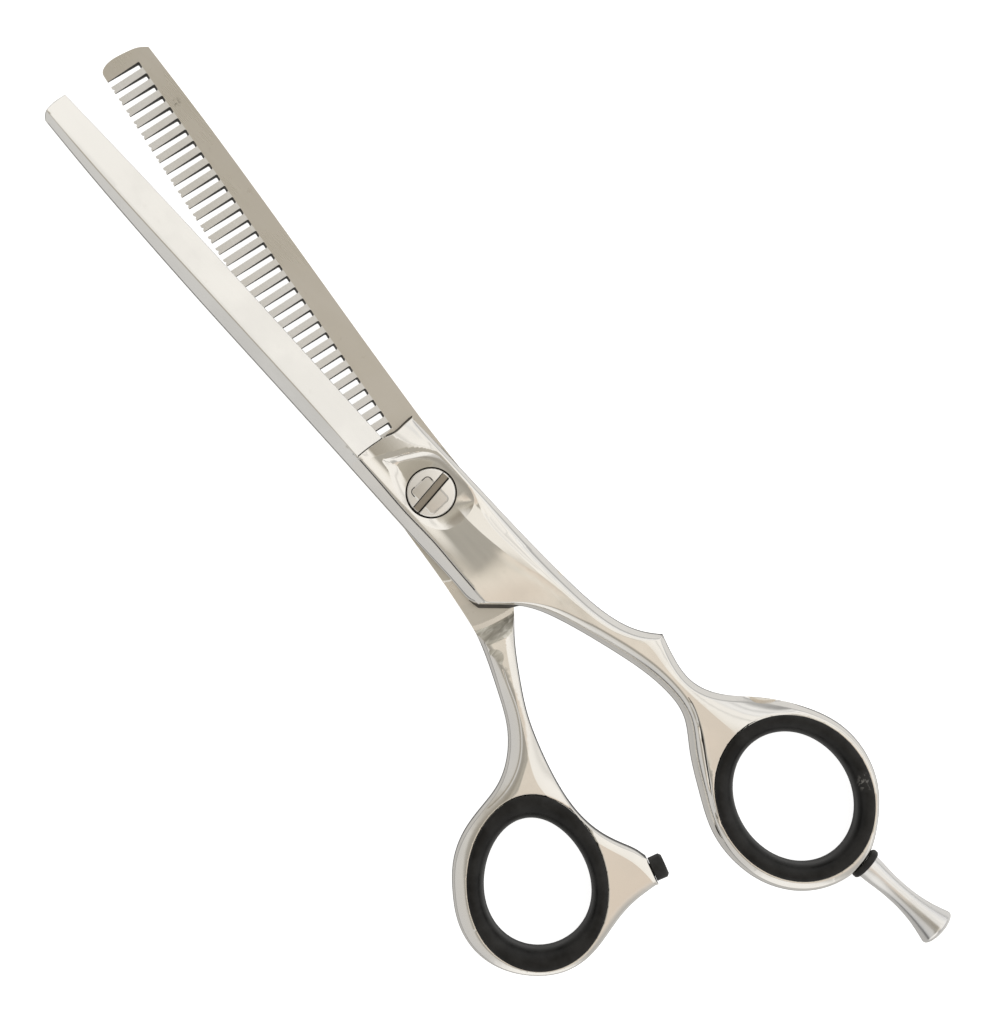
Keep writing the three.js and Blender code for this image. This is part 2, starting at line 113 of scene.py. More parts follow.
SLOTS = 33
SLOT_PITCH = 2.031
SLOT_W = .88
SLOT_LEAN = math.radians(10)
SLOT_DRAFT = .14   # how far one wall of each slot leans, so that the slots narrow towards the outer face
ROOT_LEAN, ROOT_CORNER = .35, .12   # the same for the root, and the slot's small corners
V_WIDTH, V_DEPTH = .54, .26   # the notch in a tooth's tip
TEETH_FROM, TEETH_TO = 11, 78.6   # where the slot walls, painted near black as shade, start and end
FIRST_ROOT = (11.6, -2.4)
ROOT_FALL = -.1415

# ovals of the ring inserts: half axes, turn in degrees, and how much wider one end is
FINGER_OVAL = dict(centre=(-70.1, -8.9), hole=(10.15, 8.6, -9.5, 0), rim=(12.85, 11.45, -8, 0))
THUMB_OVAL = dict(centre=(-53.3, 27.95), hole=(9.6, 7.95, 148, .11), rim=(13.15, 10.45, 143.5, .06))
METAL_BORE = .5   # the metal's bore lies half way between them


# ---------------------------------------------------------------- curves
def smoothed(rows, sigma):
    """Rows averaged with their neighbours, the ends held."""
    w = min(int(3 * sigma) + 1, len(rows) - 1)
    kernel = np.exp(-.5 * (np.arange(-w, w + 1) / sigma) ** 2)
    kernel /= kernel.sum()
    pad = np.concatenate([2 * rows[0] - rows[w:0:-1], rows, 2 * rows[-1] - rows[-2:-w - 2:-1]])
    return np.stack([np.convolve(column, kernel, "valid") for column in pad.T], 1)


def natural(points, step, smooth=0.0):
    """Evenly spaced rows along a natural cubic spline through x, y; the other columns run straight."""
    p = np.asarray(points, float)
    xy = p[:, :2]
    s = np.r_[0, np.cumsum(np.hypot(*np.diff(xy, axis=0).T))]
    n, h = len(p), np.diff(s)
    a, b = np.eye(n), np.zeros((n, 2))
    for i in range(1, n - 1):
        a[i, i - 1:i + 2] = h[i - 1], 2 * (h[i - 1] + h[i]), h[i]
        b[i] = 6 * ((xy[i + 1] - xy[i]) / h[i] - (xy[i] - xy[i - 1]) / h[i - 1])
    m = np.linalg.solve(a, b)
    u = np.unique(np.concatenate([np.linspace(s[i], s[i + 1], 24) for i in range(n - 1)]))
    k = np.clip(np.searchsorted(s, u, side="right") - 1, 0, n - 2)
    hk, x0, x1 = h[k, None], (s[k + 1] - u)[:, None], (u - s[k])[:, None]
    fine = (m[k] * x0**3 + m[k + 1] * x1**3) / (6 * hk) + (xy[k] / hk - m[k] * hk / 6) * x0 \
        + (xy[k + 1] / hk - m[k + 1] * hk / 6) * x1
    arc = np.r_[0, np.cumsum(np.hypot(*np.diff(fine, axis=0).T))]
    at = np.linspace(0, arc[-1], max(2, int(round(arc[-1] / step)) + 1))
    un = np.interp(at, arc, u)
    out = np.stack([np.interp(at, arc, column) for column in fine.T]
                   + [np.interp(un, s, column) for column in p[:, 2:].T], 1)
    if smooth > 0 and len(out) > 8:
        out = smoothed(out, smooth / step)
        out[:, 2:] = np.maximum(out[:, 2:], .01)
    return out


def line_y(points):
    """A function of x through the points' x, y, straight between close samples of the smooth curve."""
    q = natural([r[:2] for r in points], .5)
    q = q[np.argsort(q[:, 0])]
    return lambda x: np.interp(x, q[:, 0], q[:, 1])


def around(count):
    """Angles of evenly spaced points round a circle."""
    return np.arange(count) * 2 * math.pi / count


def oval(spec, centre, t):
    a, b, turn, egg = spec
    turn = math.radians(turn)
    u = np.cos(t - turn)
    x, y = a * u, b * (1 + egg * u) * np.sin(t - turn)
    return np.stack([centre[0] + x * math.cos(turn) - y * math.sin(turn),
                     centre[1] + x * math.sin(turn) + y * math.cos(turn)], -1)


def ring_loop(o, share, count):
    """A loop between a ring's hole, at share 0, and its rim, at share 1."""
    t = around(count)
    return (1 - share) * oval(o["hole"], o["centre"], t) + share * oval(o["rim"], o["centre"], t)


def circle(r, count):
    t = around(count)
    return r * np.stack([np.cos(t), np.sin(t)], 1)


def step01(v):
    v = np.clip(v, 0, 1)
    return v * v * (3 - 2 * v)


def unit(v):
    return v / np.maximum(np.linalg.norm(v, axis=-1, keepdims=True), TINY)


def inside(points, loop):
    """Even-odd test of many points against one loop."""
    a, b = loop, np.roll(loop, -1, 0)
    run, rise = (b - a).T
    rise = np.where(rise == 0, TINY, rise)
    out = []
    for part in range(0, max(len(points), 1), CHUNK):
        x, y = points[part:part + CHUNK, :, None].transpose(1, 0, 2)
        hit = ((a[:, 1] > y) != (b[:, 1] > y)) & (x < run * (y - a[:, 1]) / rise + a[:, 0])
        out.append(hit.sum(1) % 2 == 1)
    return np.concatenate(out)


def near(points, line, closed=False):
    """Distances from a line of rows, and the rows' further columns at the nearest places."""
    a = line if closed else line[:-1]
    b = np.roll(line, -1, 0) if closed else line[1:]
    ab = (b - a)[:, :2]
    square = np.maximum((ab ** 2).sum(1), TINY)
    gaps, columns = [], []
    for part in range(0, max(len(points), 1), CHUNK):
        p = points[part:part + CHUNK, None, :]
        t = np.clip(((p - a[:, :2]) * ab).sum(2) / square, 0, 1)
        gap = (((a[:, :2] + t[..., None] * ab) - p) ** 2).sum(2)
        k = gap.argmin(1)
        row = np.arange(len(k))
        share = t[row, k][:, None]
        gaps.append(np.sqrt(gap[row, k]))
        columns.append(a[k, 2:] * (1 - share) + b[k, 2:] * share)
    return np.concatenate(gaps), np.concatenate(columns)


def distance(points, line, closed=False):
    return near(points, line, closed)[0]


# ---------------------------------------------------------------- shells
def put(name, data):
    """An object in the scene."""
    o = bpy.data.objects.new(name, data)
    bpy.context.scene.collection.objects.link(o)
    return o


class Shell:
    """Collects faces with a normal for each corner, then makes one closed mesh."""

    def __init__(self):
        self.parts, self.count = [], 0

    def add(self, co, faces, normals, mats):
        """co (n,3), faces (m,k) into co, normals (m,k,3), mats a number or m numbers."""
        self.parts.append((co, faces + self.count, normals, np.broadcast_to(mats, len(faces))))
        self.count += len(co)

    def strips(self, rows, ahead, behind, mats, flip=False):
        """Quads between closed rows of points (rows, n, 3). Each point lends one normal to the quads ahead
        of it and one to the quads behind. mats is a number or a function of the quads' x, y."""
        ids = np.arange(rows.shape[0] * rows.shape[1]).reshape(rows.shape[:2])
        nxt, lent = np.roll(ids, -1, 1), np.roll(behind, -1, 1)
        quads = np.stack([ids[:-1], nxt[:-1], nxt[1:], ids[1:]], -1).reshape(-1, 4)
        normals = np.stack([ahead[:-1], lent[:-1], lent[1:], ahead[1:]], 2).reshape(-1, 4, 3)
        if flip:
            quads, normals = quads[:, ::-1], normals[:, ::-1]
        co = rows.reshape(-1, 3)
        self.add(co, quads, normals, mats(*co[quads].mean(1)[:, :2].T) if callable(mats) else mats)

    def finish(self, name, materials, mirror=False):
        """The object: equal points joined, collapsed faces left out."""
        co = np.concatenate([part[0] for part in self.parts])
        if mirror:
            co[:, 2] = MIRROR - co[:, 2]
        cells, cell = np.unique(np.round(co, 3), axis=0, return_inverse=True)
        cell = cell.reshape(-1)
        place = np.zeros_like(cells)
        place[cell] = co
        loops, totals, normals, mats = [], [], [], []
        for _, faces, facing, mat in self.parts:
            if mirror:
                faces, facing = faces[:, ::-1], facing[:, ::-1] * [1, 1, -1]
            ids = cell[faces]
            keep = ids != np.roll(ids, 1, 1)
            good = keep.sum(1) >= 3
            loops.append(ids[good][keep[good]])
            normals.append(facing[good][keep[good]])
            totals.append(keep[good].sum(1))
            mats.append(mat[good])
        loops, totals, normals, mats = map(np.concatenate, (loops, totals, normals, mats))
        starts = np.r_[0, np.cumsum(totals)[:-1]]
        mesh = bpy.data.meshes.new(name)
        mesh.vertices.add(len(place))
        mesh.loops.add(len(loops))
        mesh.polygons.add(len(totals))
        mesh.vertices.foreach_set("co", (place * MM).astype(np.float32).ravel())
        mesh.loops.foreach_set("vertex_index", loops.astype(np.int32))
        for key, values in (("loop_start", starts), ("loop_total", totals), ("material_index", mats)):
            mesh.polygons.foreach_set(key, values.astype(np.int32))
        mesh.update(calc_edges=True)
        mesh.polygons.foreach_set("use_smooth", np.ones(len(totals), bool))
        for m in materials:
            mesh.materials.append(m)
        mesh.normals_split_custom_set(unit(normals).tolist())
        mesh.update()
        return put(name, mesh)


def gradient(f, xy, h=.004):
    gx = (f(xy[:, 0] + h, xy[:, 1]) - f(xy[:, 0] - h, xy[:, 1])) / (2 * h)
    gy = (f(xy[:, 0], xy[:, 1] + h) - f(xy[:, 0], xy[:, 1] - h)) / (2 * h)
    return np.stack([gx, gy], 1)


def lattice(low, high, spacing, rise):
    """Points in a box, every second row shifted by half a step."""
    x, y = np.meshgrid(np.arange(low[0], high[0], spacing), np.arange(low[1], high[1], spacing * rise))
    x = x + (np.arange(len(x)) % 2)[:, None] * spacing / 2
    return np.column_stack([x.ravel(), y.ravel()])


def within(points, box):
    return (points >= box[:2]).all(1) & (points <= box[2:]).all(1)


def fill(loop, holes, creases, spacing, dense):
    """Triangles inside a loop and outside its holes. They follow the creases, and are finer in the dense
    boxes."""
    rims, chains, edges, kept = [loop, *holes], [], [], []

    def chain(q, closed):
        base, n = sum(map(len, chains)), len(q)
        edges.extend((base + i, base + (i + 1) % n) for i in range(n if closed else n - 1))
        chains.append(q)

    def clear(points):
        in_hole = sum([inside(points, hole) for hole in holes], np.zeros(len(points), bool))
        return inside(points, loop) & ~in_hole

    def gap(points, lines, closed):
        return np.min([distance(points, q, closed) for q in lines], axis=0)

    for rim in rims:
        chain(rim, True)
    for crease in creases:
        ok = clear(crease) & (gap(crease, rims, True) > CREASE_CLEAR)
        for run in np.split(np.arange(len(crease)), np.nonzero(np.diff(ok))[0] + 1):
            if ok[run[0]] and len(run) > 1:
                chain(crease[run], False)
                kept.append(crease[run])
    grid = lattice(loop.min(0), loop.max(0), spacing, GRID_RISE)
    for box, fine in dense:
        grid = np.vstack([grid[~within(grid, box)], lattice(box[:2], box[2:], fine, 1)])
    grid = grid[clear(grid)]
    local = np.full(len(grid), spacing)
    for box, fine in dense:
        local[within(grid, box)] = fine
    room = np.minimum(gap(grid, rims, True), gap(grid, kept, False))
    points = np.concatenate(chains + [grid[room > GRID_ROOM * local]])
    found, _, faces, origins = geometry.delaunay_2d_cdt([Vector(p) for p in points], edges, [], 0, 1e-5)[:4]
    verts = np.array([points[origin[0]] if origin else tuple(v) for v, origin in zip(found, origins)])
    tris = np.array([t for t in faces if len(t) == 3])
    tris = tris[clear(verts[tris].mean(1))]
    a, b, c = verts[tris].transpose(1, 0, 2)
    area = (b[:, 0] - a[:, 0]) * (c[:, 1] - a[:, 1]) - (b[:, 1] - a[:, 1]) * (c[:, 0] - a[:, 0])
    tris[area < 0] = tris[area < 0][:, ::-1]
    return verts, tris[np.abs(area) > 1e-9]


def sheet(shell, f, loop, holes, creases, spacing, up, mat, dense=()):
    """One face at the heights f; its corner normals are taken just inside each triangle."""
    verts, tris = fill(loop, holes, creases, spacing, dense)
    mid = verts[tris].mean(1)
    corner = verts[tris] + CORNER_PULL * (mid[:, None] - verts[tris])
    g = gradient(f, corner.reshape(-1, 2))
    n = unit(np.column_stack([-g, np.ones(len(g))])).reshape(-1, 3, 3)
    if not up:
        n, tris = -n[:, ::-1], tris[:, ::-1]
    shell.add(np.column_stack([verts, f(*verts.T)]), tris, n, mat(*mid.T))


def offsets(xy, corner_turn=math.radians(18)):
    """Inward miter vectors, one-sided tangents and corner flags of an anticlockwise loop."""
    back = unit(xy - np.roll(xy, 1, 0))
    ahead = unit(np.roll(xy, -1, 0) - xy)
    turn = np.arctan2(back[:, 0] * ahead[:, 1] - back[:, 1] * ahead[:, 0], (back * ahead).sum(1))
    n1 = np.stack([-back[:, 1], back[:, 0]], 1)
    n2 = np.stack([-ahead[:, 1], ahead[:, 0]], 1)
    dot = (n1 * n2).sum(1, keepdims=True)
    miter = (n1 + n2) / np.maximum(1 + dot, .25)
    return miter, back, ahead, turn, np.abs(turn) > corner_turn


def ease_corners(xy, radius, turn, corner):
    """Edge radii shrink towards sharp outward corners, so that the bands don't cross."""
    seg = np.hypot(*(np.roll(xy, -1, 0) - xy).T)
    n = len(xy)
    out = radius.copy()
    for c in np.nonzero(corner & (turn > 0))[0]:
        rise = math.tan((math.pi - turn[c]) / 2) * .8
        for way in (1, -1):
            d, i = 0.0, c
            while d < CORNER_REACH:
                out[i] = min(out[i], .03 + rise * d)
                d += seg[i] if way == 1 else seg[(i - 1) % n]
                i = (i + way) % n
    return out


def band(shell, xy, radius, share, f, side, up, mat, rows=9, shift=0):
    """The rounded edge from the side wall to a sheet. Returns the wall's rim and the sheet's loop."""
    miter, back, ahead, turn, corner = offsets(xy)
    reach = miter * ease_corners(xy, radius, turn, corner)[:, None]
    base, sign = xy + shift, 1 if up else -1
    z_in = f(*(base + reach).T)
    foot = z_in - sign * share * np.maximum(sign * (z_in - side), 0)
    co, slope = [], []
    for a in np.linspace(0, math.pi / 2, rows):
        q, run = base + reach * (1 - math.cos(a)), reach * math.sin(a)
        drop = f(*q.T) - foot
        climb = (gradient(f, q) * run).sum(1) if a > .1 else 0
        co.append(np.column_stack([q, foot + drop * math.sin(a)]))
        slope.append(np.column_stack([run, drop * math.cos(a) + climb * math.sin(a)]))
    co, slope = np.array(co), np.array(slope)
    slope[0, :, 2] = np.where(np.abs(slope[0, :, 2]) < 1e-5, sign * 1e-5, slope[0, :, 2])
    nxt, last, sharp = np.roll(co, -1, 1), np.roll(co, 1, 1), corner[None, :, None]
    n_ahead = sign * unit(np.cross(np.where(sharp, nxt - co, nxt - last), slope))
    n_behind = sign * unit(np.cross(np.where(sharp, co - last, nxt - last), slope))
    shell.strips(co, n_ahead, n_behind, mat, not up)
    return co[0], co[-1][:, :2]


def wall(shell, low, high, mat):
    """A wall between two loops of points, seen from outside an anticlockwise outline."""
    _, back, ahead, _, corner = offsets((low[:, :2] + high[:, :2]) / 2)
    rise = high - low
    rise = np.where(np.abs(rise[:, 2:]) < 1e-6, [0, 0, 1], rise)
    normals = []
    for way in (ahead, back):
        along = np.where(corner[:, None], way, back + ahead)
        normals.append(unit(np.cross(np.column_stack([along, np.zeros(len(low))]), rise)))
    shell.strips(np.stack([low, high]), np.stack([normals[0]] * 2), np.stack([normals[1]] * 2), mat)


def hole_wall(shell, stations, mats):
    """The wall of a hole: stations are (loop points, heights) from the outer sheet to the inner."""
    rows = [np.column_stack([q, np.broadcast_to(z, len(q))]) for q, z in stations]
    for i, (a, b) in enumerate(zip(rows[:-1], rows[1:])):
        n = np.stack([unit(np.cross(np.roll(a, -1, 0) - np.roll(a, 1, 0), b - a))] * 2)
        shell.strips(np.stack([a, b]), n, n, mats[i] if i < len(mats) and len(rows) > 2 else 0)


def half(name, runs, z_out, z_in, holes, creases, mats, zones, spacing=(.6, .9), mirror=False, foot=0,
         dense=((), ())):
    """One half of the shears. Holes are (loop in the outer sheet, loop in the inner, stations between)."""
    rows = np.concatenate([r[:-1, :4] for r in runs])
    xy, radius, share = rows[:, :2], rows[:, 2], rows[:, 3]
    shell = Shell()
    top, top_loop = band(shell, xy, radius, share, z_out, MID + WALL_HALF, True, zones["edge"])
    full = np.clip((MID - z_in(*xy.T)) / (MID - HANDLE_BOTTOM), 0, 1)
    low_r = np.where(radius <= .05, 0, np.maximum(radius * full, np.minimum(.04, radius * .5)))
    low_share = np.where(full > .02, .98, 0)
    low, low_loop = band(shell, xy, low_r, low_share, z_in, MID - WALL_HALF, False, zones["edge"],
                         shift=foot)
    wall(shell, low, top, zones["wall"])
    sheet(shell, z_out, top_loop, [h[0] for h in holes], creases[0], spacing[0], True,
          zones["outer"], dense[0])
    sheet(shell, z_in, low_loop, [h[1] for h in holes], creases[1], spacing[1], False,
          zones["inner"], dense[1])
    for h_out, h_in, stations in holes:
        stations = [(h_out, z_out(*h_out.T)), *stations, (h_in, z_in(*h_in.T))]
        hole_wall(shell, stations, zones.get("holes", ()))
    return shell.finish(name, mats, mirror)


# ---------------------------------------------------------------- materials
class Nodes:
    """Short calls for the few node kinds that the materials use."""

    def __init__(self, tree, coordinates="Object"):
        self.tree = tree
        self.place = self.make("ShaderNodeTexCoord").outputs[coordinates]

    def make(self, kind, inputs=(), **settings):
        """A node. Its inputs are (name, value), and a value may be another node's socket."""
        node = self.tree.nodes.new(kind)
        for key, value in settings.items():
            setattr(node, key, value)
        for key, value in inputs:
            self.link(value, node.inputs[key])
        return node

    def link(self, value, socket):
        if hasattr(value, "links"):
            self.tree.links.new(value, socket)
        else:
            socket.default_value = value

    def mapped(self, scale, turn=0.0):
        inputs = ("Vector", self.place), ("Scale", scale), ("Rotation", (0, 0, turn))
        return self.make("ShaderNodeMapping", inputs).outputs[0]

    def noise(self, vector, scale, detail=3.0, rough=.5, warp=0.0):
        inputs = (("Vector", vector), ("Scale", scale), ("Detail", detail), ("Roughness", rough),
                  ("Distortion", warp))
        return self.make("ShaderNodeTexNoise", inputs).outputs["Fac"]

    def ramp(self, value, stops):
        node = self.make("ShaderNodeValToRGB", ((0, value),))
        parts = node.color_ramp.elements
        while len(parts) < len(stops):
            parts.new(.5)
        for part, (at, colour) in zip(parts, stops):
            part.position = at
            part.color = (*colour, 1)
        return node.outputs[0]

    def between(self, value, low, high, to_low=0.0, to_high=1.0):
        inputs = (("Value", value), ("From Min", low), ("From Max", high), ("To Min", to_low),
                  ("To Max", to_high))
        return self.make("ShaderNodeMapRange", inputs, interpolation_type="SMOOTHSTEP").outputs[0]

    def math(self, operation, *values):
        return self.make("ShaderNodeMath", enumerate(values), operation=operation).outputs[0]

    def mix(self, factor, a, b, blend="MIX"):
        node = self.make("ShaderNodeMix", (("Factor", factor),), data_type="RGBA", blend_type=blend)
        for socket, v in zip([s for s in node.inputs if s.type == "RGBA"], (a, b)):
            self.link(v if hasattr(v, "links") else (*v, 1), socket)
        return [s for s in node.outputs if s.type == "RGBA"][0]

    def patch(self, centre, full, none, grain):
        """A ragged mark round one place, full within one distance of it and gone past the other."""
        away = self.make("ShaderNodeVectorMath", ((0, self.place), (1, [c * MM for c in centre])),
                         operation="DISTANCE").outputs["Value"]
        ragged = self.between(self.noise(self.place, grain, 3, .6, 1.0), .5, .62)
        return self.math("MULTIPLY", self.between(away, full * MM, none * MM, 1, 0), ragged)

    def surface(self, colour, rough, height, strength, depth):
        """The shader's colour and roughness, and its normal from a height."""
        bump = self.make("ShaderNodeBump", (("Height", height), ("Strength", strength), ("Distance", depth)))
        shader = self.tree.nodes["Principled BSDF"]
        for key, value in (("Base Color", colour), ("Roughness", rough), ("Normal", bump.outputs[0])):
            self.link(value, shader.inputs[key])


def material(name, build, values):
    """A node material; build(nodes) adds the nodes, values go on the shader's own sockets."""
    m = bpy.data.materials.new(name)
    m.use_nodes = True
    for key, value in values.items():
        m.node_tree.nodes["Principled BSDF"].inputs[key].default_value = value
    build(Nodes(m.node_tree))
    return m


def steel(name, tint, rough, grain, grain_turn=0.0, grain_depth=.25, stains=.05, smudge=None):
    """Ground and polished steel: fine grain lines, cloudy polish, faint stains, and perhaps one smudge."""
    def build(n):
        lines = n.noise(n.mapped((grain * .03, grain, grain * .6), grain_turn), 1, 4, .65)
        cloud = n.noise(n.place, 90, 4, .55)
        spots = n.noise(n.place, 900, 2, .5)
        dull = n.math("ADD", n.between(cloud, .35, .7, rough * .8, rough * 1.15),
                      n.between(lines, .4, .75, 0, rough * .2))
        colour = n.mix(n.between(cloud, .42, .62), tint, [c * .955 for c in tint])
        colour = n.mix(n.between(spots, .66, .74, 0, stains), colour, (.36, .3, .22))
        if smudge is not None:
            colour = n.mix(n.patch(smudge, .1, .95, 2400), colour, (.2, .18, .15))
        height = n.math("ADD", n.math("MULTIPLY", lines, .6), n.math("MULTIPLY", spots, .25))
        n.surface(colour, dull, height, grain_depth, 4e-6)
    return material(name, build, {"Metallic": 1.0})


def dark_steel(name):
    """Near-black steel: painted shade for slots, gaps, grooves and dark walls, with a random mottle and
    rough finish.
    """
    def build(n):
        dark_mottle = n.noise(n.mapped((600, 600, 2600)), 1, 3, .6)
        colour = n.ramp(dark_mottle, [(.3, (.018, .016, .014)), (.75, (.11, .1, .085))])
        n.surface(colour, n.between(dark_mottle, .3, .7, .38, .6), dark_mottle, .4, 6e-6)
    return material(name, build, {"Metallic": .7})


def hand_ground(name):
    """Steel dressed by hand with a small wheel: dull grey with swirling scratches."""
    def build(n):
        swirl = n.noise(n.mapped((1100, 240, 400)), 1, 4, .6, 1.3)
        colour = n.ramp(swirl, [(.32, (.38, .355, .30)), (.5, (.54, .515, .445)), (.68, (.86, .84, .77))])
        n.surface(colour, n.between(swirl, .3, .7, .34, .52), swirl, .6, 2e-5)
    return material(name, build, {"Metallic": .35})


def rubber(name, tone, rough, pits=.35, scuff=None):
    """Moulded black rubber: fine pebbled skin, dusty bloom, lighter worn patches, and perhaps one scuff."""
    def build(n):
        bloom = n.noise(n.place, 240, 5, .6)
        colour = n.ramp(bloom, [(.38, tone), (.72, [c * 1.9 + .012 for c in tone])])
        if scuff is not None:
            colour = n.mix(n.patch(scuff, .6, 1.7, 1300), colour, (.16, .155, .145))
        n.surface(colour, n.between(bloom, .3, .7, rough * .85, rough * 1.2), n.noise(n.place, 5200, 2, .5),
                  pits, 1.2e-5)
    return material(name, build, {"Specular IOR Level": .24})


def nylon(name):
    def build(n):
        cloud = n.noise(n.place, 600, 3, .5)
        colour = n.ramp(cloud, [(.35, (.78, .75, .66)), (.7, (.88, .86, .79))])
        n.surface(colour, n.between(cloud, .3, .7, .42, .55), n.noise(n.place, 4000, 2), .2, 1e-5)
    return material(name, build, {"Subsurface Weight": .1})


# ---------------------------------------------------------------- heights of the plain half
HANDLE_TOP, HANDLE_BOTTOM, BLOCK_TOP = 6.6, .6, 6.9
UPPER_FACE, FLAT_R, RAMP_RUN = 3.65, 22.7, 2.2

edge_y = line_y(PLAIN_EDGE)
crest_y = line_y([(11.3, 4.42), (20, 4.2), (30, 4.1), (50, 4.0), (60, 3.95), (70, 3.8), (81.6, 3.35)])
groove_y = line_y([(-22, 5.3), (-15, 5.05), (-10, 4.85), (-5, 4.65), (0, 4.75), (5, 4.6), (11.3, 4.42)])
STEP = natural([(10.9, -.4), (10.95, .2), (11.12, 1.5), (11.25, 3), (11.3, 4.42), (11.3, 4.7)], .4)
# the second number is the width of the strip at the step's foot that is painted near black as shade
STEP_WIDTH, STEP_SHADE = .14, .12
ACROSS = (-2, -1, 0, 1, 2)   # the creases that carry a pressed line, in its widths
CREST_ROUND, CREST_LINE = .035, .07
CHAMFER, CHAMFER_DROP = .34, .12
GROOVE_GAP, GROOVE_DEPTH, GROOVE_WIDTH, GROOVE_SHADE = .04, .16, .1, .095   # the pressed line in the groove, and the half width of its middle that is painted black as shade
HEEL_LEAN, SPINE_LEAN, FRONT_LEAN = .62, .14, .36   # how far the block's lower edge stands out
DISH_BOX = (-8, -5.2, 10.6, 4.4)     # the mesh is finer here
RAMP_BOX = (-26.5, 2, -20.5, 11.5)   # and here, on the toothed half
BLADE_X, BLOCK_END = 11.25, 16   # where the blade's own grind starts, and where the block is over for sure
# the outer edge of the dish round the screw head
DISH = natural([(-4.4, 3.2), (-5.6, 2), (-6.15, 0), (-6.05, -2.2), (-5.2, -3.9), (-4.0, -4.5),
                (-1.5, -4.7), (1.5, -4.68), (3.6, -4.4), (5.15, -3.4), (6.3, -1.95), (7.35, -.25),
                (8.25, 1.45), (8.5, 2.1), (8.0, 2.25), (7, 2.35), (5, 3.25), (3, 3.9), (0, 4.1),
                (-2.6, 3.95), (-4.4, 3.2)], .35)[:-1]
# below this line the plain half's top rolls over to its lower side
shoulder_y = line_y([(-64, -11), (-60, -9.4), (-57, -8.9), (-50, -8.1), (-42, -8.0), (-38, -8.2),
                     (-34, -6.3), (-25, -4.3), (-20, -3.7), (-13, -3.2), (-8, -3.4), (-5.4, -4.3),
                     (-3.4, -4.85), (0, -4.95), (3.5, -4.85), (5.6, -4.0), (7.4, -2.7), (10.2, -1.6)])
# between this line and the shoulder, the block has a flat that faces a little lower
low_flat_y = line_y([(-26, -4.6), (-22, -4.0), (-20, -3.6), (-17, -2.7), (-13, -1.9), (-9, -1.4),
                     (-5, -1.2)])
# a fine line runs this far below the shoulder, between these places
FINE_GAP, FINE_FROM, FINE_TO, FINE_DEPTH, FINE_WIDTH = .42, -20, -6.2, .011, .07
# the right edge of the block's level top, as x by y
facet_x = line_y([(-4.6, 4.4), (-3.5, 5.9), (-2.1, 7.2), (-.4, 8.3), (1.4, 9.2), (3.2, 9.9), (4.6, 10.2)])
thumb_low_y = line_y([(-66, 15.2), (-61, 15.3), (-58, 16.2), (-55, 17.2), (-50, 18), (-47, 17.9),
                      (-43, 17.9), (-40, 16.8), (-36, 14.4), (-33, 12.7), (-30, 10.9), (-27, 9.1),
                      (-24, 7.1), (-21, 4.6)])


def edge_facet(x, y, line):
    """How far the top falls towards the outline, over the width that the line's rows give."""
    out = np.zeros(len(x))
    close = x < -17
    d, cols = near(np.column_stack([x, y])[close], line)
    out[close] = cols[:, 1] * np.clip(1 - d / np.maximum(cols[:, 0], .01), 0, 1) ** 1.7
    return out


FINGER_EDGE = natural(FINGER_RUN, 1.1)[:, [0, 1, 4, 5]]
THUMB_EDGE = natural(THUMB_RUN, 1.1)[:, [0, 1, 4, 5]]


def pressed(x, y, line, x0, x1, depth, width, ends=2.0):
    """A fine line pressed into the top along y = line(x)."""
    slope = (line(x + .2) - line(x - .2)) / .4
    d = (y - line(x)) / np.sqrt(1 + slope ** 2)
    fade = step01((x - x0) / ends) * step01((x1 - x) / ends)
    return depth * fade * np.exp(-(d / width) ** 2)


RING_LINE = (-65.5, -48.2)   # where the pressed line above the finger ring, painted dark as shade, starts and ends
ring_line_y = line_y([(-66, 2.2), (-63, 1.0), (-60, -.95), (-57, -2.95), (-55, -4.3), (-52.5, -5.75),
                      (-50, -6.85), (-48, -7.5)])


def ring_line_w(x):
    """Half the width of the line above the finger ring that is painted dark as shade, measured along y."""
    return .06 + .13 * step01((x + 64) / 11) * step01((-48.2 - x) / 1.5)


def blade_top(x, y):
    far = (x - 8) / 74
    crest, low = crest_y(x), edge_y(x) - .2
    top = 5.85 - .5 * far
    face = 3.72 + (top - 3.72) * (y - low) / (crest - low)
    bevel = top - .54 * (y - crest)
    # the crest between the two grinds is rounded a little, with a fine line along it
    crest_top = (face + bevel) / 2 - np.sqrt((face - bevel) ** 2 / 4 + CREST_ROUND ** 2)
    return crest_top - pressed(x, y, crest_y, 13, 80.4, .022, CREST_LINE, 9)


def bore_chamfer(x, y, o):
    """How far the top falls towards the liner, over a narrow ring round it."""
    out = np.zeros(len(x))
    close = np.hypot(x - o["centre"][0], y - o["centre"][1]) < 15
    p, rim = np.column_stack([x, y])[close], ring_loop(o, 1, 96)
    gap = np.where(inside(p, rim), 0, distance(p, rim, True))
    out[close] = CHAMFER_DROP * np.clip(1 - gap / CHAMFER, 0, 1)
    return out


def chamfer_lines(o):
    """The two edges of that ring."""
    rim = ring_loop(o, 1, 128)
    return [rim, rim - (CHAMFER + .01) * offsets(rim)[0]]


def shoulder_fall(x, y):
    """How far the plain half's faces fall below the shoulder."""
    under = np.maximum(shoulder_y(x) - y, 0)
    return (.12 * under + .045 * under ** 2) * step01((x + 62) / 8)


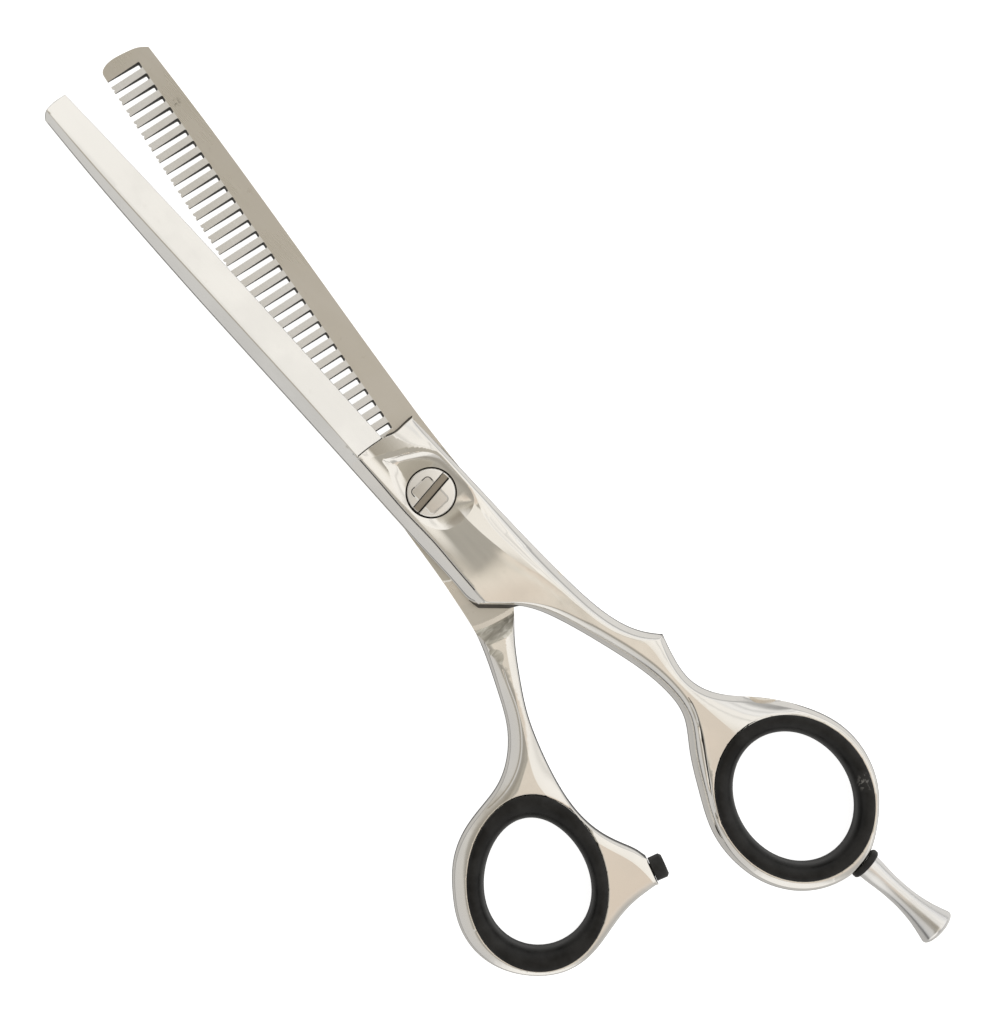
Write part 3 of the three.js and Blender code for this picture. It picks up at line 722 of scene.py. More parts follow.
def block_top(x, y):
    pad = BLOCK_TOP - .3 * step01((-13 - x) / 12)
    # it sinks a little towards the dish, and a shallow hollow runs along the flat of its lower side
    pad = pad - .34 * step01((x - .76 * (y - .5) + 19.5) / 20) * step01((4.9 - y) / 2.6)
    under = np.maximum(low_flat_y(x) - y, 0)
    pad = pad - .13 * np.minimum(under, 2.5) * step01((x + 27) / 9) * step01((-3 - x) / 3)
    above = (y - low_flat_y(x) - .55) / .65
    pad = pad - .06 * np.exp(-above ** 2) * step01((x + 37) / 13) * step01((-12 - x) / 5)
    pad = pad - shoulder_fall(x, y)
    pad = pad - pressed(x, y, lambda t: shoulder_y(t) - FINE_GAP, FINE_FROM, FINE_TO, FINE_DEPTH,
                        FINE_WIDTH, 3)
    # right of the dish the top falls towards the blade
    past = np.maximum(x - facet_x(y), 0) * (x > 3)
    pad = pad - .13 * past * step01((3.9 - y) / 1.2)
    pad = pad - edge_facet(x, y, FINGER_EDGE)
    # dished round the screw head: a rolled wall, then a nearly flat floor
    p = np.column_stack([x, y])
    d = np.full(len(x), 9.0)
    close = (np.abs(x - 1) < 9) & (np.abs(y) < 6)
    d[close] = distance(p[close], DISH, True)
    left = step01((-.5 - x) / 3)
    upper = step01((y - .4 - 1.7 * left) / 1.5)
    wall_run = 1.5 - .3 * step01((x - 2) / 4) + 1.1 * np.maximum(upper, left)
    depth = .26 + .09 * step01((x - 1) / 5) - .14 * upper * step01((2.5 - x) / 2.5)
    depth = (depth + .05 * left * (1 - upper)) * step01((9.2 - x) / 1.6)
    roll = 1 - (1 - np.clip(d / wall_run, 0, 1)) ** 2
    floor_tilt = .085 * np.maximum(x - 3, 0) * step01((3.5 - y) / 2)
    sunk = depth * roll + floor_tilt * roll
    in_dish = np.zeros(len(x), bool)
    in_dish[close] = inside(p[close], DISH)
    pad = pad - np.where(in_dish, sunk, 0)
    pad = pad - pressed(x, y, ring_line_y, *RING_LINE, .1, .13) - bore_chamfer(x, y, FINGER_OVAL)
    # the grind that carries the blade's back bevel past the groove
    g = groove_y(x)
    strip_top = 6.42 - .57 * step01((x + 4) / 15.3)
    strip = strip_top - (.62 - .1 * step01((x + 4) / 15)) * (y - g)
    fade = step01((x + 19.5) / 4.5)
    rise = np.clip((y - g + .05) / .18, 0, 1)
    pad = pad + (np.minimum(strip, pad) - pad) * rise * fade
    line = pressed(x, y, lambda t: groove_y(t) + GROOVE_GAP, -15.6, 11.6, GROOVE_DEPTH, GROOVE_WIDTH, 1.6)
    return pad - line * (x > -16) * (x < 11)


def step_x(y):
    return np.interp(y, STEP[:, 1], STEP[:, 0])


def plain_out(x, y):
    line = step_x(y)
    t = np.clip((x - line) / STEP_WIDTH + .5, 0, 1)
    z_blade = blade_top(np.maximum(x, 11.2), y)
    z_block = np.full(len(x), HANDLE_TOP)
    near_block = x < BLOCK_END
    z_block[near_block] = block_top(np.minimum(x, line + STEP_WIDTH)[near_block], y[near_block])
    # over the crest the bevel runs on without a step
    ahead = step01((x - 4) / 12)
    z_back = z_block + (z_blade - z_block) * ahead
    z = np.where(x > 60, z_blade, z_block + (z_blade - z_block) * t)
    over = np.clip((y - 4.5) / .1, 0, 1) * (x > 4) * (x < BLOCK_END)
    return z + (z_back - z) * over


RAMP_LINES = [RAMP_RUN * k / 4 for k in range(5)]
PLAIN_FOOT, TOOTHED_FOOT = FLAT_R + .6, FLAT_R - 1.05   # where the halves' ramps start, from the pivot
TOOTHED_STRETCH = 1.18
RELIEF_R = (13.3, 13.55, 15, 17.5, 20.9)   # the toothed half's hollow-ground part
CLEAR_R = (21.3, 21.8, 22.3, 23.1, 23.6)   # the plain half's relief


def opened(x, y, start, run=RAMP_RUN):
    """The side that faces the other half: handle, a rounded ramp, then the flat parting face."""
    climb = np.clip((np.hypot(x, y) - start) / run, 0, 1)
    z = UPPER_FACE - (UPPER_FACE - HANDLE_BOTTOM) * (1 - np.cos(climb * math.pi)) / 2
    return np.where(x > 0, UPPER_FACE, z)


def handle_share(z):
    """0 on the parting face, 1 on the handle's own face."""
    return np.clip((UPPER_FACE - z) / (UPPER_FACE - HANDLE_BOTTOM), 0, 1) ** 3


def plain_in(x, y):
    z = opened(x, y, PLAIN_FOOT)
    # a relief at the foot of the ramp, where the other half's ramp passes
    r = np.hypot(x, y)
    relief = .5 * step01((r - CLEAR_R[0]) / .5) + .65 * step01((r - CLEAR_R[1]) / .5)
    z = z + relief * step01((CLEAR_R[-1] - r) / .5) * (x < 0)
    full = handle_share(z)
    return z + (shoulder_fall(x, y) + edge_facet(x, y, FINGER_EDGE)) * full


def arc(r, step=.6):
    """A stretch of circle behind the pivot, across both handles' roots."""
    t = np.radians(np.arange(120, 262, math.degrees(step / r)))
    return np.stack([r * np.cos(t), r * np.sin(t)], 1)


def curve_of(f, x0, x1, step=.5, gap=0):
    """The line y = f(x) + gap."""
    x = np.arange(x0, x1, step)
    return np.stack([x, f(x) + gap], 1)


# ---------------------------------------------------------------- heights of the toothed half, upside down
tips_y = line_y(TOOTH_TIPS)
toothed_spine_y = line_y(TOOTHED_SPINE)
BACK_RIDGE = (1.2, 3.4)   # the level strip between the toothed blade's bevels, from its spine


def toothed_out(x, y):
    """Underside of the toothed half, as a height: the blade is bevelled to both sides."""
    far = (x - 9) / 72
    ridge = MIRROR - (1.3 + .4 * far)
    spine, tips = toothed_spine_y(np.clip(x, 9.6, 77.8)), tips_y(np.clip(x, 9, 78.9)) + .3
    a, b = (spine + gap for gap in BACK_RIDGE)
    back = ridge - (ridge - 4.9) * np.clip((a - y) / 1.5, 0, 1)
    face = ridge - (ridge - 3.92) * np.clip((y - b) / np.maximum(tips - b, .5), 0, 1)
    blade = np.where(y < b, back, face)
    handle = HANDLE_TOP - thumb_fall(x, y) * step01((-20 - x) / 5)
    return handle + (blade - handle) * step01((x - 8.5) / 7)


def thumb_fall(x, y):
    """How far the thumb handle's faces fall to their edges: a bright flat below, a rolled facet outside."""
    under = np.maximum(thumb_low_y(x) - y, 0) * step01((-19 - x) / 5)
    return (.17 * under + .035 * under ** 2) + edge_facet(x, y, THUMB_EDGE) + bore_chamfer(x, y, THUMB_OVAL)


SHANK_LINE = natural([(-40.3, 25.6), (-40.2, 22.6), (-39.3, 19.4), (-37.6, 16.7), (-35, 14.3), (-31.5, 12.2),
                      (-28.6, 11.0), (-26.6, 10.0)], .25)
SCRIBE_DEPTH, SCRIBE_WIDTH = .035, .11
# a half-moon at the head of the ramp, where the grinding wheel ran out
HALF_MOON = natural([(-25.95, 9.78), (-25.45, 8.85), (-24.7, 8.4), (-23.85, 8.6), (-23.25, 9.2),
                     (-22.95, 9.95)], .2)
HALF_MOON = np.vstack([HALF_MOON, HALF_MOON[:1]])


def scribed(x, y):
    """A fine line along the thumb shank."""
    out = np.zeros(len(x))
    close = (x < -25) & (x > -42) & (y < 27) & (y > 9)
    gap = distance(np.column_stack([x, y])[close], SHANK_LINE)
    out[close] = SCRIBE_DEPTH * np.exp(-(gap / SCRIBE_WIDTH) ** 2)
    return out


def beside(line, gap):
    """The line moved sideways."""
    ahead = unit(np.gradient(line, axis=0))
    return line + gap * np.column_stack([-ahead[:, 1], ahead[:, 0]])


def toothed_in(x, y):
    """The face that the plain half rides on, hollow ground behind the pivot, then the ramp to the handle."""
    z = opened(x, y, TOOTHED_FOOT, RAMP_RUN + .4)
    full = handle_share(z)
    hollow = np.interp(np.hypot(x, y), RELIEF_R, (0, .2, .22, .22, 0)) * (x < 0)
    return z + thumb_fall(x, y) * full + hollow + scribed(x, y)


def slot_loop():
    """The teeth from the tip to the heel: slots, and a small V in each tooth. Returns the rows of the outer
    edge, and how far the inner edge is moved from it."""
    along = np.array([math.sin(SLOT_LEAN), math.cos(SLOT_LEAN)])
    across = np.array([math.cos(SLOT_LEAN), -math.sin(SLOT_LEAN)])
    pitch = SLOT_PITCH * np.array([1, ROOT_FALL])
    still, draft, rise = np.zeros(2), across * SLOT_DRAFT, across * V_WIDTH / 2

    def to_tips(p):
        while p[1] < tips_y(p[0]) - 1e-4:
            p = p + along * max(.9 * (tips_y(p[0]) - p[1]), 2e-4)
        return p

    rows = [(78.9, float(tips_y(78.9)))]
    foot = [still]
    for i in range(SLOTS - 1, -1, -1):
        root = np.array(FIRST_ROOT) + pitch * i
        right, left = root + across * SLOT_W / 2, root - across * SLOT_W / 2
        deep, c = along * ROOT_LEAN, ROOT_CORNER
        rows += [to_tips(right), right + along * c + deep, right + deep - across * c,
                 left + deep + across * c, left + along * c + deep, to_tips(left)]
        foot += [draft * .4, draft - deep, draft - deep, -deep, -deep, still]
        if i:
            mid = to_tips(root - pitch / 2)
            rows += [mid + rise, mid - along * V_DEPTH, mid - rise]
            foot += [still] * 3
    rows += [(x, float(tips_y(x))) for x in (11.6, 11.0)] + [THUMB_RUN[0][:2]]
    foot += [still] * 3
    rows = np.array(rows)
    return np.column_stack([rows, np.full(len(rows), .03), np.full(len(rows), .25)]), np.array(foot)


# ---------------------------------------------------------------- the two halves
COUNTERBORE_R, COUNTERBORE_FLOOR, BORE_R = 3.85, 5.2, 2.31
WASHER_SEAT_R, WASHER_SEAT_TOP, NUT_BORE_R = 4.6, 3.86, 3.03
ROUND = 96

mirror_steel = steel("polished_steel_handle", (.90, .875, .83), .13, 900, .2, .12, .05)
blade_steel = steel("ground_steel_blade", (.90, .885, .85), .2, 1500, 0, .3, .04)
satin_flat = steel("satin_steel_flat", (.80, .765, .70), .3, 4200, math.radians(-80), .2, .08,
                   smudge=(68.9, -11.6, 3.55))
teeth_steel = steel("ground_steel_teeth", (.98, .98, .97), .36, 4200, math.radians(-80), .2, .04)
rubbed_steel = steel("rubbed_steel_flat", (.66, .64, .58), .34, 2000, math.radians(-75), .7, .45)
# painted shade: a near-black steel that stands in for shade in slots, gaps, grooves and on dark walls
painted_shade_steel = dark_steel("painted_shade_dark_steel")
ramp_steel = hand_ground("hand_ground_ramp")


def root_y(x):
    """The line of the slot roots."""
    return FIRST_ROOT[1] + ROOT_FALL * (x - FIRST_ROOT[0])


def blade_zone(x, y):
    """0 polished handle and block, 1 ground blade."""
    return (x > BLADE_X).astype(int)


def soft_steps(x, x0, rise, x1, fall):
    """Climbs from x0 over the length rise, and is back at 0 at x1, over the length fall."""
    return step01((x - x0) / rise) * step01((x1 - x) / fall)


def constant(value):
    return lambda x, y: np.full(len(x), value)


def plain_half():
    runs = [natural(FINGER_RUN, .55, .9), natural(FINGER_BELLY, .55, .5),
            np.vstack([natural(FINGER_FRONT, .35), PLAIN_EDGE[0]]), natural(PLAIN_EDGE, 1.0),
            natural(PLAIN_TIP, .3), natural(PLAIN_SPINE, .8), natural(FINGER_HEEL, .4)]
    runs[0][-1, :2] = runs[1][0, :2] = FINGER_BELLY[0][:2]
    counter, bore, seat = (circle(r, ROUND) for r in (COUNTERBORE_R, BORE_R, WASHER_SEAT_R))
    ring = ring_loop(FINGER_OVAL, METAL_BORE, 128)
    holes = [(counter, seat, [(counter, COUNTERBORE_FLOOR), (bore, COUNTERBORE_FLOOR),
                              (bore, WASHER_SEAT_TOP), (seat, WASHER_SEAT_TOP)]), (ring, ring, [])]
    # the block's slanted end, its spine and its front lean: the lower edge stands out past the upper one
    outline = np.concatenate([r[:-1, :2] for r in runs])
    x, y = outline.T
    heel_lean = HEEL_LEAN * soft_steps(x, -21.6, 1.6, -15.4, 1.8) * (y > 0)
    spine_lean = SPINE_LEAN * soft_steps(x, -17, 1.5, 2, 8) * (y > 5)
    front_lean = FRONT_LEAN * ((x > 10.1) & (x < 11) & (y < -.6))
    foot = -unit(offsets(outline)[0]) * (np.maximum(heel_lean, spine_lean) + front_lean)[:, None]
    half_step = STEP_WIDTH / 2
    out_creases = [STEP + [d, 0] for d in (-half_step, half_step, half_step + STEP_SHADE)]
    out_creases += [np.vstack([DISH, DISH[:1]]), curve_of(low_flat_y, -26, -5.5),
                    curve_of(shoulder_y, -56, 9.5)]
    out_creases += [curve_of(groove_y, -18, 11.05, .3, gap) for gap in (-.14, -.05, .04, .13, .22)]
    for k in ACROSS:
        out_creases += [curve_of(lambda x: ring_line_y(x) + k * ring_line_w(x), *RING_LINE, .3),
                        curve_of(crest_y, 12, 80.6, .8, k * CREST_LINE),
                        curve_of(shoulder_y, FINE_FROM, FINE_TO, .3, k * FINE_WIDTH - FINE_GAP)]
    out_creases += chamfer_lines(FINGER_OVAL)
    in_creases = [arc(PLAIN_FOOT + d) for d in RAMP_LINES[2:]] + [arc(r) for r in CLEAR_R]
    in_creases += chamfer_lines(FINGER_OVAL)

    def top_zone(x, y):
        """Painted shade: the groove, the ring's line and the foot of the step are painted near black."""
        in_groove = (np.abs(y - groove_y(x) - GROOVE_GAP) < GROOVE_SHADE) & (x > -15) & (x < 10.9)
        in_line = (np.abs(y - ring_line_y(x)) < ring_line_w(x)) & (x > -64.5) & (x < -48.4)
        past = x - step_x(y)
        at_step = (past > 0) & (past < half_step + STEP_SHADE) & (y < 4.4)
        return np.where(in_groove | in_line | at_step, 2, blade_zone(x, y))

    def wall_zone(x, y):
        """The block's slanted end and its front are painted black too: painted shadow along their feet."""
        heel = (x > -21.7) & (x < -15.6) & (y > 1)
        return np.where(heel | ((x > 10.1) & (x < 11.3) & (y < -.3)), 2, blade_zone(x, y))

    # the counterbore's wall and floor are painted near black: painted shade in the gap round the screw head
    zones = dict(edge=blade_zone, wall=wall_zone, outer=top_zone, inner=blade_zone, holes=(2, 2))
    return half("plain_half_forging", runs, plain_out, plain_in, holes, (out_creases, in_creases),
                [mirror_steel, blade_steel, painted_shade_steel], zones, foot=foot,
                dense=([(DISH_BOX, .24)], ()))


def toothed_half():
    teeth, teeth_foot = slot_loop()
    runs = [natural(THUMB_RUN, .55, .6), natural(THUMB_SEAT, .6), natural(THUMB_BELLY, .55, .5),
            natural(TOOTHED_SPINE, 1.0), natural(TOOTHED_TIP, .3), teeth]
    count = sum(len(r) - 1 for r in runs[:-1])
    foot = np.concatenate([np.zeros((count, 2)), teeth_foot[:len(teeth) - 1]])
    seat, bore = circle(WASHER_SEAT_R, ROUND), circle(NUT_BORE_R, ROUND)
    ring = ring_loop(THUMB_OVAL, METAL_BORE, 128)
    holes = [(bore, seat, [(bore, WASHER_SEAT_TOP), (seat, WASHER_SEAT_TOP)]), (ring, ring, [])]
    out_creases = [curve_of(toothed_spine_y, 10, 77, .8, gap) for gap in BACK_RIDGE]
    out_creases += chamfer_lines(THUMB_OVAL)
    ramp = [TOOTHED_FOOT + TOOTHED_STRETCH * d for d in RAMP_LINES]
    in_creases = [arc(r) for r in (*RELIEF_R, *ramp)] + chamfer_lines(THUMB_OVAL)
    in_creases += [curve_of(thumb_low_y, -65, -24), curve_of(root_y, 11, 79, .25), HALF_MOON]
    in_creases += [beside(SHANK_LINE, k * SCRIBE_WIDTH) for k in ACROSS]
    last_slot = FIRST_ROOT[0] + SLOT_PITCH * (SLOTS - 1)

    def flat(x, y):
        """0 polished handle, 1 satin blade and flat."""
        return np.where((np.hypot(x, y) < RELIEF_R[-1]) | (x > 0), 1, 0)

    def flat_and_teeth(x, y):
        """The same, with 3 the teeth, 4 the rubbed flat round the pivot and 5 the hand-ground ramp."""
        up = y - root_y(x)
        teeth = (x > TEETH_FROM) & (up > 0) & (x < last_slot + up * math.tan(SLOT_LEAN))
        r = np.hypot(x, y)
        rub = (r < RELIEF_R[0]) & (x < 4)
        ground = (r > ramp[0]) & (r < ramp[-1]) & (x < 0)
        ground |= inside(np.column_stack([x, y]), HALF_MOON)
        return np.where(teeth, 3, np.where(rub, 4, np.where(ground, 5, flat(x, y))))

    def wall_zone(x, y):
        """The slots' walls are painted near black: painted shade in the slots."""
        in_slot = (x > TEETH_FROM) & (x < TEETH_TO) & (y < tips_y(x) - .12)
        in_slot &= y > toothed_spine_y(np.clip(x, 9, 78)) + 1
        return np.where(in_slot, 2, np.where(x > 9, 1, 0))

    zones = dict(edge=flat, wall=wall_zone, outer=flat, inner=flat_and_teeth)
    return half("toothed_half_forging", runs, toothed_out, toothed_in, holes, (out_creases, in_creases),
                [mirror_steel, satin_flat, painted_shade_steel, teeth_steel, rubbed_steel, ramp_steel], zones,
                (.9, .6), True, foot, ((), [(RAMP_BOX, .28)]))


# ---------------------------------------------------------------- turned and lofted pieces
def fillet(corners, closed=False, steps=5):
    """(radius, height, rounding) corners to a fine profile."""
    p = np.array([c[:2] for c in corners], float)
    n, out = len(p), []
    for i, (r, z, fill_r) in enumerate(corners):
        if fill_r <= 0 or (not closed and i in (0, n - 1)):
            out.append(p[i])
            continue
        a, b = unit(p[i - 1] - p[i]), unit(p[(i + 1) % n] - p[i])
        angle = math.acos(np.clip((a * b).sum(), -1, 1))
        run = fill_r / max(math.tan(angle / 2), 1e-3)
        start, end = p[i] + a * run, p[i] + b * run
        centre = p[i] + unit(a + b) * fill_r / max(math.sin(angle / 2), 1e-3)
        t0, t1 = [math.atan2(*(q - centre)[::-1]) for q in (start, end)]
        turn = (t1 - t0 + math.pi) % (2 * math.pi) - math.pi
        for t in [t0 + turn * k / steps for k in range(steps + 1)]:
            out.append(centre + fill_r * np.array([math.cos(t), math.sin(t)]))
    return np.array(out)


def profile_normals(p, closed):
    """Normals at both ends of each segment, smooth across gentle bends."""
    q = np.roll(p, -1, 0) if closed else p[1:]
    d = unit(q - (p if closed else p[:-1]))
    n = np.stack([d[:, 1], -d[:, 0]], 1)
    m = len(n)
    first, last = n.copy(), n.copy()
    for i in range(m):
        j = (i + 1) % m
        if not closed and j == 0:
            continue
        if (n[i] * n[j]).sum() > .85:
            last[i] = first[j] = unit(n[i] + n[j])
    return first, last


def spun(points, count):
    """(radius, height) points, or normals, swept round Z."""
    t = around(count)
    return np.stack([np.stack([r * np.cos(t), r * np.sin(t), np.full(count, z)], 1) for r, z in points])


def turned(name, profile, mat, count=64, place=Matrix(), closed=False, reshape=None):
    """A body of revolution about Z; the profile runs upwards on the outside."""
    shell, p = Shell(), np.asarray(profile, float)
    turn, move = np.array(place.to_3x3()), np.array(place.translation)
    for i, normals in enumerate(zip(*profile_normals(p, closed))):
        ends = p[i], p[(i + 1) % len(p)]
        if max(ends[0][0], ends[1][0]) < 1e-6:
            continue
        co, facing = spun(ends, count), spun(normals, count) @ turn.T
        if reshape is not None:
            co = reshape(co)
        shell.strips(co @ turn.T + move, facing, facing, 0)
    return shell.finish(name, [mat])


def aimed(seat, toward):
    """The place of a piece whose Z points along toward."""
    quat = Vector((0, 0, 1)).rotation_difference(Vector(toward).normalized())
    return Matrix.Translation(Vector(seat)) @ quat.to_matrix().to_4x4()


# the liner's section from its waist down: share from hole to rim, height
LIP = [(0, 3.6), (.015, 2.7), (.05, 1.9), (.12, 1.2), (.24, .62), (.4, .22), (.55, .06), (.7, .003),
       (.84, .03), (.95, .14), (1, .3), (.995, .42), (.96, .5)]
NECK, LIP_BACK = .46, .53   # the neck's share, and the height of the lip's back


def ring_insert(name, o, mat):
    """A black liner: a soft bead inside the hole, lips over both faces, and a neck in the metal bore."""
    low = natural(LIP, .06)
    low = low[np.r_[True, np.hypot(*np.diff(low, axis=0).T) > 1e-9]]
    high = np.column_stack([low[::-1, 0], MIRROR - low[::-1, 1]])
    outer = np.vstack([high, low[1:]])
    neck = [low[-1], (NECK, LIP_BACK), (NECK, MIRROR - LIP_BACK), high[0]]
    shell, count = Shell(), 160
    for part in (outer, *zip(neck[:-1], neck[1:])):
        loops = [np.column_stack([ring_loop(o, share, count), np.full(count, z)]) for share, z in part]
        co = np.stack(loops)
        n = unit(np.cross(np.gradient(co, axis=0), np.roll(co, -1, 1) - np.roll(co, 1, 1)))
        shell.strips(co, n, n, 0, True)
    return shell.finish(name, [mat])


# ---------------------------------------------------------------- screw
HEAD_R, HEAD_TOP, HEAD_UNDER, SHAFT_R, SHAFT_END = 3.6, 7.08, 5.9, 2.25, 1.35
SLOT_TURN = math.radians(6.6)
SLOT_EDGES = (-.68, -.42, .56, .65)   # rim and floor of the slot's two walls, across the slot
SLOT_DEPTH = .72
HEAD_EDGE, HEAD_SHARE = .2, .35   # the head's rounded rim, and its share of the side
POCKET = dict(centre=(-.15, .4), half=(2.5, 1.9), corner=.7)
# the last pair is the band inside the pocket's rim whose right-hand corners are painted dark as shade
POCKET_DEPTH, POCKET_WALL, POCKET_SHADE = .14, .24, (-.03, -.17)


def slot_place(x, y):
    """How far across the slot a point lies."""
    return x * math.cos(SLOT_TURN) + y * math.sin(SLOT_TURN)


def pocket_gap(x, y):
    """Distance outside the rounded pocket left by the maker's driver, negative inside."""
    px = np.abs(x - POCKET["centre"][0]) - POCKET["half"][0] + POCKET["corner"]
    py = np.abs(y - POCKET["centre"][1]) - POCKET["half"][1] + POCKET["corner"]
    outside = np.hypot(np.maximum(px, 0), np.maximum(py, 0))
    return outside + np.minimum(np.maximum(px, py), 0) - POCKET["corner"]


def pocket_line(grow):
    """A closed line at one distance outside the pocket's rim."""
    t = np.arange(0, 360, 7.5)
    c, s, r = np.cos(np.radians(t)), np.sin(np.radians(t)), POCKET["corner"] + grow
    x = POCKET["centre"][0] + r * c + np.sign(c.round(6)) * (POCKET["half"][0] - POCKET["corner"])
    y = POCKET["centre"][1] + r * s + np.sign(s.round(6)) * (POCKET["half"][1] - POCKET["corner"])
    q = np.column_stack([x, y])
    return natural(np.vstack([q, q[:1]]), .12)


def screw_top(x, y):
    u = slot_place(x, y)
    z = HEAD_TOP - .21 * (np.hypot(x, y) / HEAD_R) ** 2 + .035 * x + .052 * y
    z = z - POCKET_DEPTH * step01(-pocket_gap(x, y) / POCKET_WALL)
    floor = HEAD_TOP - SLOT_DEPTH - z
    a, b, c, d = SLOT_EDGES
    return z + floor * np.clip((u - a) / (b - a), 0, 1) * np.clip((d - u) / (d - c), 0, 1)


def screw_zone(x, y):
    """0 head, 1 slot floor, 2 slot walls and pocket corner painted near black as shade, 3 pocket."""
    u, gap = slot_place(x, y), pocket_gap(x, y)
    a, b, c, d = SLOT_EDGES
    corner = (gap < POCKET_SHADE[0]) & (gap > POCKET_SHADE[1]) & (x > 1.2) & ((y > 1.2) | (y < -.2))
    zone = np.where(corner | ((u > a) & (u < d)), 2, np.where(gap < 0, 3, 0))
    return np.where((u > b) & (u < c), 1, zone)


def tension_screw(mats):
    shell = Shell()
    count = 240
    loop = circle(HEAD_R, count)
    edge = np.full(count, HEAD_EDGE), np.full(count, HEAD_SHARE)
    top, top_loop = band(shell, loop, *edge, screw_top, HEAD_UNDER, True, constant(0), rows=6)
    wall(shell, top * [1, 1, 0] + [0, 0, HEAD_UNDER], top, constant(0))
    along = np.array([-math.sin(SLOT_TURN), math.cos(SLOT_TURN)])
    across = np.array([math.cos(SLOT_TURN), math.sin(SLOT_TURN)])
    reach = np.arange(-3.5, 3.5, .12)[:, None]
    creases = [across * u + along * reach for u in SLOT_EDGES]
    for grow in (0, *POCKET_SHADE, -POCKET_WALL):
        line = pocket_line(grow)
        u = slot_place(line[:, 0], line[:, 1])
        for keep in (u < SLOT_EDGES[0] - .03, u > SLOT_EDGES[3] + .03):
            cut = np.nonzero(keep & ~np.roll(keep, 1))[0]
            turn_by = -int(cut[0]) if len(cut) else 0
            creases.append(np.roll(line, turn_by, 0)[:int(keep.sum())])
    sheet(shell, screw_top, top_loop, [], creases, .14, True, screw_zone)
    rings = [(HEAD_R, HEAD_UNDER), (SHAFT_R, HEAD_UNDER), (SHAFT_R, SHAFT_END + .3),
             (SHAFT_R - .3, SHAFT_END), (0, SHAFT_END)]
    for (r0, z0), (r1, z1) in zip(rings[:-1], rings[1:]):
        n = spun([unit(np.array([z0 - z1, r1 - r0], float))] * 2, count)
        shell.strips(spun([(r0, z0), (r1, z1)], count), n, n, 0, True)
    return shell.finish("slotted_tension_screw", mats)


# ---------------------------------------------------------------- build
black = rubber("black_rubber_skin", (.006, .0057, .0052), .4, .3, (-75.4, -18.3, 6.9))
black_bumper = rubber("black_bumper_rubber", (.015, .015, .014), .5)
white_nylon = nylon("natural_nylon")
screw_steel = steel("screw_head_steel", (.97, .95, .91), .42, 1800, .4, .3, .04)
pocket_steel = steel("pressed_pocket_steel", (.76, .735, .69), .34, 2400, .9, .6, .08)
slot_steel = steel("milled_slot_steel", (.42, .38, .32), .42, 3200, 1.6, .8, .25)
horn_steel = steel("turned_horn_steel", (.88, .865, .84), .24, 1500, 1.5, .3, .06)
spring_plain = steel("spring_steel_plain", (.5, .48, .45), .36, 2400, 0, .6, .1)

HEAD_WASHER = [(2.4, 5.23, .04), (3.7, 5.23, .04), (3.7, 5.42, .04), (2.4, 5.42, .04)]
DISC_SPRING = [(2.4, 5.62, .04), (3.65, 5.45, .04), (3.65, 5.62, .04), (2.4, 5.86, .04)]
BLADE_WASHER = [(2.4, 3.37, .05), (4.5, 3.37, .05), (4.5, 3.83, .05), (2.4, 3.83, .05)]
NUT = [(0, 0, 0), (3.3, 0, 0), (3.36, .05, .03), (3.5, .05, .03), (3.56, 0, 0), (4.2, 0, .14),
       (4.2, .55, .1), (3.0, .55, .06), (3.0, 3.28, .1), (2.31, 3.28, .06), (2.31, .8, 0), (0, .8, 0)]
PLUG = [(0, .83, 0), (2.1, .83, .06), (2.1, 1.2, .08), (.4, 1.2, .05), (0, 1.16, 0)]
BUMPER = [(0, -3, 0), (1, -3, .2), (1, .06, 0), (1.88, .06, .12), (1.9, 1.75, .3), (1.5, 2.12, .35),
          (0, 2.15, 0)]
REST_WASHER = [(1.27, -.27, .04), (2.3, -.27, .2), (2.52, -.07, .2), (2.52, .33, .2), (2.3, .54, .15),
               (1.27, .54, .04)]
STUD = [(0, -2.2), (1.1, -2.2), (1.2, -2.05), (1.2, .6), (1.93, .6)]
HORN = natural([(1.95, .62), (1.86, 2), (1.72, 3.6), (1.62, 6.3), (1.8, 9.3), (2.15, 11.3), (2.6, 13),
                (2.93, 14.1)], .3)
HORN_END = natural([(2.93, 14.1), (2.95, 14.35), (2.8, 14.65), (2.35, 14.93), (1.2, 15.235),
                    (0, 15.335)], .18)
BUMPER_PLACE = aimed((-63.78, 14.1, MID), (-.32, -.947, 0))
REST_PLACE = aimed((-84.75, -9.95, MID), (-.9955, -.095, 0))


def saddle(co):
    """The washer's inner face follows the round of the ring; local x is up, y is along the ring."""
    inward = np.clip((.54 - co[..., 2:]) / .81, 0, 1)
    return co - inward * (.05 * co[..., :1] ** 2 + .035 * co[..., 1:2] ** 2) * [0, 0, 1]


